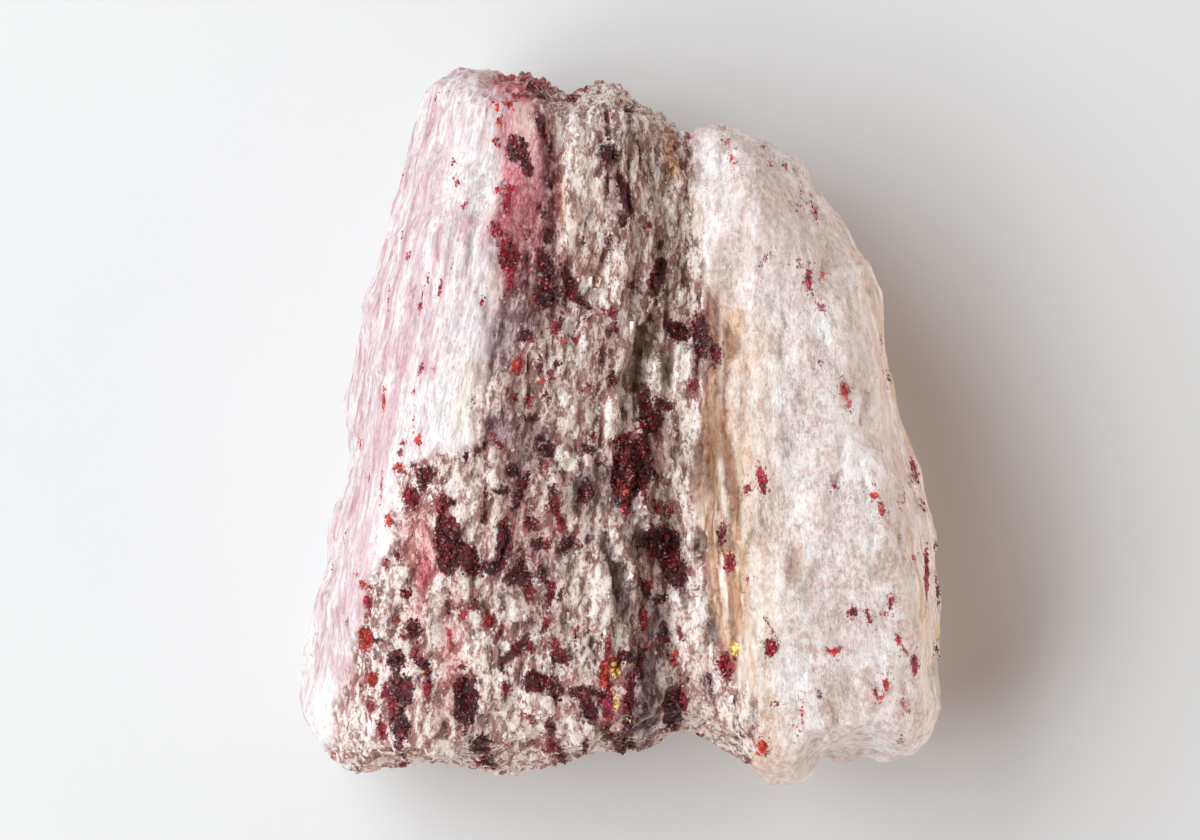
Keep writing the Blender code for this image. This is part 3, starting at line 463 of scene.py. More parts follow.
# Sugary quartz crystals: name, how many, half widths, lengths per width, share in each zone, how white the
# white ones are, and how dark the darkest are
SUGAR = (
    ("lobe_grains", 8000, (0.04, 0.1), (1.0, 1.5), {"lobe": 1.0, "strip": 0.25}, 0.7, 0.85),
    ("middle_grains", 6000, (0.035, 0.095), (1.0, 2.4), {"middle": 1.0}, 0.75, 0.45),
    ("white_crystals", 1300, (0.09, 0.2), (1.2, 2.6), {"middle": 1.0}, 0.8, 0.9),
)
WHITE_SHARE = 0.4  # how many of them are white
STEEPEST = 0.2  # least rise of the surface's normal under them
RAY_HEIGHT = 50  # where the rays that find the surface under a grain start

# Colours of the layers of the quartz material, from the bottom up
# Painted shade: a warm brown multiplied into the middle's darkest crumbs, as shaded crevices look
WARM_PAINTED_SHADE = (1.0, 0.70, 0.63, 1)
# Painted shade: a pale warm pink multiplied into the lobe's darker crumbs
PALE_PAINTED_SHADE = (1.0, 0.90, 0.85, 1)
FEATHER = (0.96, 0.94, 0.93, 1)
# Painted shade: small warm dark spots in the middle, standing for shaded pits that the mesh does not have
PAINTED_PIT_SHADE = (0.30, 0.17, 0.15, 1)
FROST = (0.98, 0.87, 0.81, 1)
FLANK_SPECK = (0.55, 0.19, 0.23, 1)
PINK_SUGAR = (0.86, 0.60, 0.62, 1)
RED_DOT = (0.20, 0.02, 0.035, 1)
THREAD_BUMP, CRUMB_BUMP = 0.06, 0.13  # depth of the finest relief
QUARTZ_IOR, RED_IOR = 1.544, 1.6

# Corners and faces of the two shapes that the small crystals have
GOLDEN = 1.618
ICOSAHEDRON = (
    ((0, 1, GOLDEN), (0, -1, GOLDEN), (0, 1, -GOLDEN), (0, -1, -GOLDEN), (1, GOLDEN, 0), (-1, GOLDEN, 0),
     (1, -GOLDEN, 0), (-1, -GOLDEN, 0), (GOLDEN, 0, 1), (-GOLDEN, 0, 1), (GOLDEN, 0, -1), (-GOLDEN, 0, -1)),
    ((0, 1, 8), (0, 8, 4), (0, 4, 5), (0, 5, 9), (0, 9, 1), (1, 6, 8), (8, 6, 10), (8, 10, 4), (4, 10, 2),
     (4, 2, 5), (5, 2, 11), (5, 11, 9), (9, 11, 7), (9, 7, 1), (1, 7, 6), (3, 6, 7), (3, 7, 11), (3, 11, 2),
     (3, 2, 10), (3, 10, 6)),
)
BLOCK = (
    [(x, y, z) for x in (-1, 1) for y in (-1, 1) for z in (-1, 1)],
    ((0, 1, 3), (0, 3, 2), (4, 6, 7), (4, 7, 5), (0, 4, 5), (0, 5, 1), (2, 3, 7), (2, 7, 6), (0, 2, 6),
     (0, 6, 4), (1, 5, 7), (1, 7, 3)),
)

# Studio: each light's name, place, target and settings, with sizes and the floor in metres
LIGHTS = (
    ("key", (-295, 55, 335), (0, 0, 8),
     {"energy": 3.95, "shape": "RECTANGLE", "size": 0.8, "size_y": 0.3, "color": (0.89, 0.96, 1.0)}),
    ("fill", (380, -40, 52), (0, 0, 10),
     {"energy": 1.15, "shape": "RECTANGLE", "size": 0.6, "size_y": 0.06, "color": (1.0, 0.93, 0.88)}),
    ("front", (-80, -380, 130), (0, 0, 8), {"energy": 0.3, "size": 0.35, "color": (1.0, 0.96, 0.93)}),
)
WORLD_COLOUR, WORLD_STRENGTH = (1.0, 0.71, 0.57, 1), 0.15
FLOOR_HALF = 2
FLOOR_COLOUR = (0.735, 0.73, 0.725, 1)
CAMERA_PLACE = (-1.2, 0.42, 406.2)
CAMERA_LENS = 200


def scrambled(cells, seed):
    """A repeatable random share for each whole-number cell."""
    h = cells[..., 0] * 73856093 ^ cells[..., 1] * 19349663 ^ cells[..., 2] * 83492791 ^ seed * 2654435761
    h = (h & 0xFFFFFFFF).astype(np.uint32)
    h ^= h >> np.uint32(15)
    h *= np.uint32(0x2C1B3C6D)
    h ^= h >> np.uint32(12)
    h *= np.uint32(0x297A2D39)
    h ^= h >> np.uint32(15)
    return h / 4294967296.0


def value_noise(p, seed):
    """Smooth noise from -1 to 1 at points given in cells."""
    low = np.floor(p).astype(np.int64)
    t = p - low
    t = t * t * (3 - 2 * t)
    total = np.zeros(len(p))
    for corner in range(8):
        step = np.array([corner & 1, corner >> 1 & 1, corner >> 2 & 1])
        weight = np.prod(np.where(step, t, 1 - t), axis=1)
        total += weight * scrambled(low + step, seed)
    return total * 2 - 1


def layered(p, scale, seed, octaves):
    """Noise of so many cells per millimetre, with finer and weaker layers on top."""
    p = p * np.array(scale)
    total, strength, reach = np.zeros(len(p)), 1.0, 0.0
    for octave in range(octaves):
        total += strength * value_noise(p * 2.0**octave + octave * OCTAVE_SHIFT, seed + octave)
        reach += strength
        strength *= OCTAVE_GAIN
    return total / reach


def cells(p, scale, seed):
    """Nearest and second nearest distances to scattered centres, a share for the cell, and the way to it."""
    p = p * np.array(scale)
    low = np.floor(p).astype(np.int64)
    near = np.full(len(p), 9.0)
    second = near.copy()
    share = np.zeros(len(p))
    way = np.zeros((len(p), 3))
    for shift in np.ndindex(3, 3, 3):
        cell = low + np.array(shift) - 1
        centre = cell + np.stack([scrambled(cell, seed + k) for k in (1, 2, 3)], axis=1)
        offset = p - centre
        d = np.sqrt((offset**2).sum(axis=1))
        closer = d < near
        second = np.where(closer, near, np.minimum(second, d))
        near = np.where(closer, d, near)
        share = np.where(closer, scrambled(cell, seed), share)
        way = np.where(closer[:, None], offset, way)
    return near, second, share, way


def tilted(p, scale, seed, tilt):
    """Offset of a surface broken into flat tilted grains that meet at their borders."""
    near, second, share, way = cells(p, scale, seed)
    lean = np.stack([np.sin(share * 51.7 * k) for k in (1, 2, 3)], axis=1)
    inside = np.clip((second - near) / 0.25, 0, 1)
    return tilt * ((lean * way).sum(axis=1) * 1.6 + (share - 0.5) * 0.8) * inside


def fan(p):
    """Coordinates across the fibres, along them and up."""
    dx, dy = p[:, 0] - FAN_APEX[0], FAN_APEX[1] - p[:, 1]
    return np.stack([np.arctan2(dx, dy) * FAN_APEX[1], np.hypot(dx, dy), p[:, 2]], axis=1)


def edge_at(line, y):
    """Where a border lies at these y."""
    ys, xs = zip(*sorted(line))
    return np.interp(y, ys, xs)


def step_up(value, softness):
    """From 0 to 1 as value crosses 0."""
    t = np.clip(value / softness * 0.5 + 0.5, 0, 1)
    return t * t * (3 - 2 * t)


def own_axes(p, row):
    """Points along the axes of a row's ellipse, which is 1 from its centre to its edge."""
    x, y, half_width, half_length, lean = row[:5]
    s, c = math.sin(math.radians(lean)), math.cos(math.radians(lean))
    dx, dy = p[:, 0] - x, p[:, 1] - y
    return (dx * c - dy * s) / half_width, (dx * s + dy * c) / half_length


def in_ellipse(p, row, warp, softness):
    """1 inside a patch, 0 outside it."""
    return step_up(1 + warp - np.hypot(*own_axes(p, row)), softness)


def features(p):
    """Each feature with how much of it is at each point, with blocky corners and slightly ragged edges."""
    warp = 0.22 * layered(p, 1.7, 41, 3)
    for row in FEATURES:
        across, along = own_axes(p, row)
        r = (across**4 + along**4) ** 0.25
        yield row, step_up((1 - r) * min(row[2:4]) + warp, 0.12)


def zones(p):
    """Weights from 0 to 1 of the stone's zones at these points."""
    x, y = p[:, 0], p[:, 1]
    rough = layered(p, (1.1, 0.5, 1.1), 11, 3)
    fibrous = layered(fan(p), (2.6, 0.25, 2.6), 12, 3)
    wobble = 0.5 * rough + 0.6 * fibrous
    flank = step_up(edge_at(FLANK_EDGE, y) - x + 1.1 * wobble, np.interp(y, (2.0, 10.0), (0.35, 1.6)))
    lobe = step_up(x - edge_at(LOBE_EDGE, y) + 0.5 * wobble, 0.2)
    strip = step_up(x - edge_at(STRIP_EDGE, y) + wobble, 0.6) * lobe
    ends = step_up(9.0 - y, 1.0) * step_up(y + 15.5, 2.0)
    slab = step_up(x - edge_at(SLAB_EDGE, y) + 0.6 * wobble, 0.25) * (1 - lobe) * ends
    middle = np.clip(1 - flank - lobe - slab, 0, 1)
    return {"flank": flank, "middle": middle, "slab": slab, "lobe": lobe - strip, "strip": strip}


def srgb(colour):
    """A colour or an array of colours as linear values."""
    c = np.asarray(colour, float)
    return np.where(c <= 0.04045, c / 12.92, ((c + 0.055) / 1.055) ** 2.4)


def surface_offset(p, zone):
    """How far the fine surface stands off the CAD surface, along its normal."""
    f = fan(p)
    warped = f + 0.25 * np.stack([layered(p, 1.3, seed, 2) for seed in (21, 22, 23)], axis=1)
    fibres = 0.06 * layered(f, (2.6, 0.22, 2.6), 31, 4)
    splinters = tilted(warped, (0.9, 0.12, 0.9), 32, 0.14)
    fine_splinters = tilted(warped, (2.4, 0.3, 2.4), 33, 0.07)
    lumps = tilted(warped, (0.85, 0.34, 0.85), 34, 0.27)
    small_lumps = tilted(warped, (2.2, 0.9, 2.2), 35, 0.13)
    sugar = tilted(warped, (3.0, 1.6, 3.0), 36, 0.05)
    knobs = tilted(warped, (0.9, 0.35, 0.9), 37, 0.13)
    slats = tilted(warped, (2.2, 0.1, 2.2), 38, 0.2)
    offset = zone["flank"] * (fibres + splinters + fine_splinters)
    offset += zone["middle"] * (lumps + small_lumps + fibres - MIDDLE_SINK)
    offset += zone["slab"] * (slats + fibres - SLAB_SINK)
    offset += zone["lobe"] * (knobs + sugar + 0.25 * fibres)
    offset += zone["strip"] * (fibres + 0.6 * splinters + fine_splinters)
    top = step_up(p[:, 2] - 7.0, 2.0)
    for row, share in features(p):
        offset += row[5] * share * top
    return offset


def cluster_field(p, table):
    """How far inside the nearest cluster of red grains each point is, in millimetres, and its colour."""
    depth = np.full(len(p), -HALO_REACH)
    colour = np.zeros((len(p), 3))
    f = fan(p)
    ragged = 0.6 * layered(f, (1.3, 0.75, 1.3), 62, 3) + 0.36 * layered(f, (3.1, 1.7, 3.1), 63, 2)
    for row in table:
        x, y, half_width, half_length, lean, kind, cover = row
        reach = max(half_width, half_length) + HALO_REACH
        near = np.flatnonzero((np.abs(p[:, 0] - x) < reach) & (np.abs(p[:, 1] - y) < reach))
        size = math.sqrt(half_width * half_length)
        inside = (cover + CLUSTER_GROWTH - np.hypot(*own_axes(p[near], row))) * size
        inside += ragged[near] * min(1.0, 0.04 + 0.8 * size)
        deeper = inside > depth[near]
        depth[near[deeper]] = inside[deeper]
        colour[near[deeper]] = srgb(STAIN_COLOURS[kind])
    return depth, colour


def zone_colours(name, value):
    """The colours that go with these values of a zone's pattern."""
    light, *stops = ZONE_COLOURS[name]
    table = srgb([COLOURS[colour] for _, colour in stops]) * np.array(light)
    return np.stack([np.interp(value, [v for v, _ in stops], table[:, k]) for k in range(3)], axis=1)


def mark_level(upward):
    """How much of the marks, which are laid out from above, shows where the normals rise this much."""
    return np.clip(upward / 0.3 - 0.1, 0, 1)


def body_colours(p, zone, level):
    """Colour of the quartz, and how bare of frost it is. Marks fade where level falls to 0."""
    f = fan(p)
    x, y = p[:, 0], p[:, 1]
    level = np.maximum(level, in_ellipse(p, END_FACE, 0, 0.5) * step_up(p[:, 2] - 9.0, 3.0))
    streaks = layered(f, (1.5, 0.11, 1.5), 51, 4)
    thin_streaks = layered(f, (3.8, 0.45, 3.8), 52, 3)
    blotches = layered(p, (0.9, 0.45, 0.9), 53, 4)
    grains = cells(p, (2.6, 1.5, 2.6), 54)[2]
    fine = cells(p, (5.0, 3.4, 5.0), 55)[2]
    inward = (x - edge_at(LEFT_RIM, y)) / 4.0
    pinkness = 0.34 - 0.16 * np.clip(inward, 0, 2) + 0.55 * streaks + 1.1 * thin_streaks
    mixture = (
        0.8 * blotches + 0.35 * (grains - 0.5) + 0.3 * (fine - 0.5) + 0.7 * thin_streaks + 0.4 * streaks
    )
    slats = 2.0 * layered(f, (3.2, 0.1, 3.2), 56, 3) + 0.16 * (x - 5.6) + 0.5 * thin_streaks
    frost = (
        1.3 * blotches + 0.3 * (fine - 0.5) + 0.2 * (grains - 0.5) + 0.4 * thin_streaks + 0.2 * streaks + 0.1
    )
    low = np.clip((-1.5 - y) / 6.0, 0, 1)[:, None]
    slab = zone_colours("slab", slats) * (SLAB_NARROW_END * (1 - low) + SLAB_WIDE_END * low)
    lobe = zone_colours("lobe", frost)
    near_slab = step_up(edge_at(LOBE_EDGE, y) + 2.0 + blotches - x, 1.8) * step_up(8.0 - y, 2.0)
    tan_side = zone_colours("tan_side", streaks + 0.5 * thin_streaks)
    lobe += (tan_side - lobe) * (0.85 * near_slab)[:, None]
    quartz = {
        "flank": zone_colours("flank", pinkness), "middle": zone_colours("middle", mixture), "slab": slab,
        "lobe": lobe, "strip": zone_colours("strip", streaks + 0.6 * thin_streaks),
    }
    colours = sum(quartz[name] * zone[name][:, None] for name in quartz)
    bare = 0.7 * near_slab * zone["lobe"]
    warp = 0.45 * layered(p, (1.6, 0.9, 1.6), 58, 3) + 0.5 * thin_streaks
    streaky = np.clip(1.0 + 1.1 * thin_streaks + 0.5 * (fine - 0.5), 0.3, 1)
    for row in PATCHES:
        share = row[6] * in_ellipse(p, row, warp, 0.5) * streaky * level
        colours += (srgb(COLOURS[row[5]]) - colours) * share[:, None]
        bare += ((row[5] not in PALE) - bare) * share
    for row, share in features(p):
        share = share * level
        if row[6]:
            feature = srgb(COLOURS[row[6]]) * (1.05 + 0.3 * fine[:, None])
            colours += (feature - colours) * (0.95 * share)[:, None]
            bare += ((row[6] not in PALE) - bare) * share
    depth = cluster_field(p, CLUSTERS)[0]
    halo = step_up(depth + 0.5 * HALO_REACH + 0.5 * blotches, HALO_REACH)
    halo = halo * (zone["middle"] + 0.3 * zone["lobe"]) * level * (1 - 0.9 * bare)
    colours += (srgb(COLOURS["halo"]) - colours) * (0.75 * halo * streaky)[:, None]
    return colours, bare


def new_object(name, data):
    obj = bpy.data.objects.new(name, data)
    bpy.context.scene.collection.objects.link(obj)
    return obj


def evaluated(obj):
    """The mesh of an object with its modifiers, and the object cleared of them."""
    data = bpy.data.meshes.new_from_object(obj.evaluated_get(bpy.context.evaluated_depsgraph_get()))
    obj.modifiers.clear()
    obj.data = data
    return data


def vertex_rows(data, name):
    """The vertices' "co" or "normal", one row each."""
    values = np.empty(len(data.vertices) * 3)
    data.vertices.foreach_get(name, values)
    return values.reshape(-1, 3)


def fine_body(cad):
    """The CAD mesh, remeshed finely and given the stone's texture."""
    body = new_object("stone", cad.data.copy())
    body.data.materials.clear()
    weld = body.modifiers.new("weld", "WELD")
    weld.merge_threshold = WELD * MM
    remesh = body.modifiers.new("remesh", "REMESH")
    remesh.mode = "VOXEL"
    remesh.voxel_size = VOXEL * MM
    data = evaluated(body)
    p = vertex_rows(data, "co") / MM
    fade = np.clip(p[:, 2] / BASE_FADE, 0, 1)
    p += vertex_rows(data, "normal") * (surface_offset(p, zones(p)) * fade)[:, None]
    p[:, 2] = np.maximum(p[:, 2], 0)
    data.vertices.foreach_set("co", (p * MM).ravel())
    data.update()
    triangles = 2 * len(data.polygons)
    if triangles > MOST_TRIANGLES:
        decimate = body.modifiers.new("decimate", "DECIMATE")
        decimate.ratio = MOST_TRIANGLES / triangles
        data = evaluated(body)
    paint(data)
    data.shade_smooth()
    return body


def store_colours(data, name, colours):
    """Keeps a colour at each vertex, for the material."""
    rgba = np.concatenate([colours, np.ones((len(colours), 1))], axis=1).astype(np.float32)
    data.color_attributes.new(name, "FLOAT_COLOR", "POINT").data.foreach_set("color", rgba.ravel())


def paint(data):
    """Keeps at each vertex what the quartz material reads: colours, fibre coordinates and zone weights."""
    p = vertex_rows(data, "co") / MM
    zone = zones(p)
    level = mark_level(vertex_rows(data, "normal")[:, 2])
    seen = level > 0.5
    depth, stain = cluster_field(p, CLUSTERS + YELLOW)
    # Clusters laid out from above would smear down the steep sides, so those get spots of their own
    side = 1.6 * layered(p, (0.7, 0.5, 0.9), 92, 4) - 0.5 - 0.3 * (1 - zone["middle"])
    depth = np.where(seen, depth, np.maximum(side, -HALO_REACH))
    stain = np.where(seen[:, None], stain, srgb(STAIN_COLOURS["dark"])) * red_light(zone)
    tint, bare = body_colours(p, zone, level)
    store_colours(data, "tint", tint)
    store_colours(data, "stain", stain)
    along = data.attributes.new("fan", "FLOAT_VECTOR", "POINT")
    along.data.foreach_set("vector", fan(p).astype(np.float32).ravel())
    kept = {
        "granular": zone["middle"] + 0.75 * zone["lobe"] + 0.15 * zone["slab"],
        "middle": zone["middle"], "flank": zone["flank"], "depth": depth, "bare": bare,
    }
    for name, values in kept.items():
        data.attributes.new(name, "FLOAT", "POINT").data.foreach_set("value", values.astype(np.float32))


def red_light(zone):
    """How much lighter the red mineral is outside the middle."""
    return (1.35 - 0.35 * zone["middle"])[:, None]


def turned(rng, count):
    """Random rotations as matrices."""
    q = rng.normal(size=(count, 4))
    w, x, y, z = (q / np.linalg.norm(q, axis=1, keepdims=True)).T
    rows = [
        [1 - 2 * (y * y + z * z), 2 * (x * y - z * w), 2 * (x * z + y * w)],
        [2 * (x * y + z * w), 1 - 2 * (x * x + z * z), 2 * (y * z - x * w)],
        [2 * (x * z - y * w), 2 * (y * z + x * w), 1 - 2 * (x * x + y * y)],
    ]
    return np.moveaxis(np.array(rows), 2, 0)


def unit(rows):
    """Rows of length 1."""
    return rows / np.linalg.norm(rows, axis=1, keepdims=True)


def along_fibres(rng, places, ways, sway):
    """Rotations that lay a shape's Y along the fibres and its Z off the surface, swayed at random."""
    fibre = np.stack([FAN_APEX[0] - places[:, 0], FAN_APEX[1] - places[:, 1], np.zeros(len(places))], axis=1)
    fibre = unit(fibre) + rng.normal(0, sway, fibre.shape)
    across = unit(np.cross(fibre, ways))
    up = unit(np.cross(across, fibre))
    return np.stack([across, np.cross(up, across), up], axis=1)


def grain_mesh(name, rng, solid, centres, sizes, colours, jitter, turns):
    """One joined mesh of small angular crystals. Sizes are half lengths along each crystal's own axes."""
    corners, faces = np.array(solid[0], float), np.array(solid[1])
    corners /= np.linalg.norm(corners[0])
    count = len(centres)
    points = corners[None] * (1 + jitter * rng.uniform(-1, 1, (count, len(corners), 1))) * sizes[:, None]
    points = points @ turns + centres[:, None]
    all_faces = (faces[None] + len(corners) * np.arange(count)[:, None, None]).reshape(-1, 3)
    data = bpy.data.meshes.new(name)
    data.from_pydata((points.reshape(-1, 3) * MM).tolist(), [], all_faces.tolist())
    store_colours(data, "tint", np.repeat(colours, len(corners), axis=0))
    return new_object(name, data)


def drop(tree, x, y):
    """The stone's surface under (x, y): points, normals and which of them hit."""
    places, ways, hit = [], [], []
    for a, b in zip(x, y):
        place, way, _, _ = tree.ray_cast(Vector((a * MM, b * MM, RAY_HEIGHT * MM)), Vector((0, 0, -1)))
        hit.append(place is not None)
        if place is not None:
            places.append(place)
            ways.append(way)
    return np.array(places) / MM, np.array(ways), np.array(hit)


def cluster_grains(tree, rng, name, table):
    """The grains of every cluster in a table, as one piece."""
    xs, ys, colours, sizes = [], [], [], []
    for x, y, half_width, half_length, lean, kind, _ in table:
        small = min(1.0, 0.45 + 1.2 * min(half_width, half_length))
        typical = sum(GRAIN_SIZE) / 2 * small
        spread = GRAIN_SPREAD + 0.15 / math.sqrt(half_width * half_length)
        count = int(math.ceil(GRAIN_PACKING * spread**2 * half_width * half_length / typical**2))
        angle, r = rng.uniform(0, 2 * math.pi, count), spread * np.sqrt(rng.uniform(0, 1, count))
        across, along = half_width * r * np.cos(angle), half_length * r * np.sin(angle)
        s, c = math.sin(math.radians(lean)), math.cos(math.radians(lean))
        xs.append(x + across * c + along * s)
        ys.append(y - across * s + along * c)
        dark, light, often = GRAIN_COLOURS[kind]
        patchy = layered(np.stack([xs[-1], ys[-1], np.zeros(count)], axis=1), 1.6, 64, 2)
        # Painted light: grains drawn as lit take the light colour, as glints and light through them would
        # give
        painted_lit = rng.uniform(size=count) < often + 1.1 * patchy
        painted_lit |= (small < MANY) & (kind != "dark")
        share = np.where(painted_lit, rng.uniform(0.3, 1, count), rng.uniform(0, 0.3, count))
        colours.append(srgb(dark) + (srgb(light) - srgb(dark)) * share[:, None])
        sizes.append(rng.uniform(*GRAIN_SIZE, count) * small)
    places, ways, hit = drop(tree, np.concatenate(xs), np.concatenate(ys))
    colours, sizes = np.concatenate(colours)[hit], np.concatenate(sizes)[hit]
    colours = colours * red_light(zones(places))
    inside = cluster_field(places, table)[0] > rng.normal(0.0, 0.1, len(places))
    places, ways, colours, sizes = places[inside], ways[inside], colours[inside], sizes[inside]
    centres = places + ways * (sizes * rng.uniform(-0.7, 0.1, len(sizes)))[:, None]
    sizes = sizes[:, None] * rng.uniform(0.65, 1.35, (len(sizes), 3))
    turns = turned(rng, len(sizes))
    return grain_mesh(name, rng, ICOSAHEDRON, centres, sizes, colours, 0.28, turns)


def sugar_grains(tree, rng, name, count, widths, stretch, wanted, whiteness, dark):
    """Small clear and white quartz crystals over the granular zones, as one piece."""
    x, y = rng.uniform(-19, 19, count * 3), rng.uniform(-21, 21, count * 3)
    places, ways, _ = drop(tree, x, y)
    zone = zones(places)
    weight = sum(zone[n] * w for n, w in wanted.items())
    patchy = layered(places, (0.8, 0.4, 0.8), 71, 3)
    clear_of_red = cluster_field(places, CLUSTERS)[0] < -0.1
    keep = rng.uniform(size=len(places)) < weight * (0.65 + 0.9 * patchy)
    keep &= (ways[:, 2] > STEEPEST) & clear_of_red
    places, ways = places[keep][:count], ways[keep][:count]
    width = rng.uniform(*widths, len(places))
    length = width * rng.uniform(*stretch, len(places))
    base, bare = body_colours(places, zones(places), mark_level(ways[:, 2]))
    toward = whiteness * (rng.uniform(0, 1, (len(places), 1)) < WHITE_SHARE) * (1 - 0.9 * bare[:, None])
    colours = base * rng.uniform(dark, 1.15, (len(places), 1))
    colours += (srgb(COLOURS["white"]) - colours) * toward
    centres = places + ways * (width * rng.uniform(-0.9, -0.2, len(places)))[:, None]
    sizes = np.stack([width, length, width * rng.uniform(0.7, 1.3, len(places))], axis=1)
    turns = along_fibres(rng, places, ways, 0.4)
    return grain_mesh(name, rng, BLOCK, centres, sizes, colours, 0.2, turns)


class Nodes:
    """A new material, and short ways to make its shader nodes."""

    def __init__(self, name):
        self.material = bpy.data.materials.new(name)
        self.material.use_nodes = True
        self.tree = self.material.node_tree
        self.shader = self.tree.nodes["Principled BSDF"]

    def put(self, socket, value):
        """Links an input to another node's output, or sets it."""
        if isinstance(value, bpy.types.NodeSocket):
            self.tree.links.new(value, socket)
        else:
            socket.default_value = value

    def add(self, kind, inputs=None, **settings):
        node = self.tree.nodes.new(kind)
        for key, value in settings.items():
            setattr(node, key, value)
        for key, value in (inputs or {}).items():
            self.put(node.inputs[key], value)
        return node

    def attribute(self, name, output="Fac"):
        return self.add("ShaderNodeAttribute", attribute_name=name).outputs[output]

    def vector(self, operation, a, b=(0, 0, 0)):
        return self.add("ShaderNodeVectorMath", {0: a, 1: b}, operation=operation).outputs[0]

    def brightened(self, colour, light):
        return self.add("ShaderNodeVectorMath", {0: colour, 3: light}, operation="SCALE").outputs[0]

    def noise(self, place, scale, detail, roughness):
        inputs = {"Vector": self.vector("MULTIPLY", place, scale), "Scale": 1.0}
        return self.add("ShaderNodeTexNoise", inputs | {"Detail": detail, "Roughness": roughness}).outputs[0]

    def facets(self, place, scale, channel):
        """Distance and colour of scattered cells, and one channel of that colour."""
        inputs = {"Vector": self.vector("MULTIPLY", place, scale), "Scale": 1.0}
        outputs = self.add("ShaderNodeTexVoronoi", inputs).outputs
        share = self.add("ShaderNodeSeparateColor", {0: outputs["Color"]}).outputs[channel]
        return outputs["Distance"], outputs["Color"], share

    def ranged(self, value, a, b, low, high):
        """From low to high as value goes from a to b."""
        return self.add("ShaderNodeMapRange", {0: value, 1: a, 2: b, 3: low, 4: high}).outputs[0]

    def math(self, operation, first, *others):
        for other in others:
            first = self.add("ShaderNodeMath", {0: first, 1: other}, operation=operation).outputs[0]
        return first

    def times(self, *values):
        return self.math("MULTIPLY", *values)

    def plus(self, *values):
        return self.math("ADD", *values)

    def minus(self, a, b):
        return self.math("SUBTRACT", a, b)

    def mixed(self, share, a, b):
        return self.add("ShaderNodeMix", {0: share, 2: a, 3: b}, data_type="FLOAT").outputs[0]

    def tinted(self, share, a, b, blend="MIX"):
        inputs = {0: share, 6: a, 7: b}
        return self.add("ShaderNodeMix", inputs, data_type="RGBA", blend_type=blend).outputs[2]

    def set(self, **values):
        for key, value in values.items():
            self.put(self.shader.inputs[key.replace("_", " ")], value)


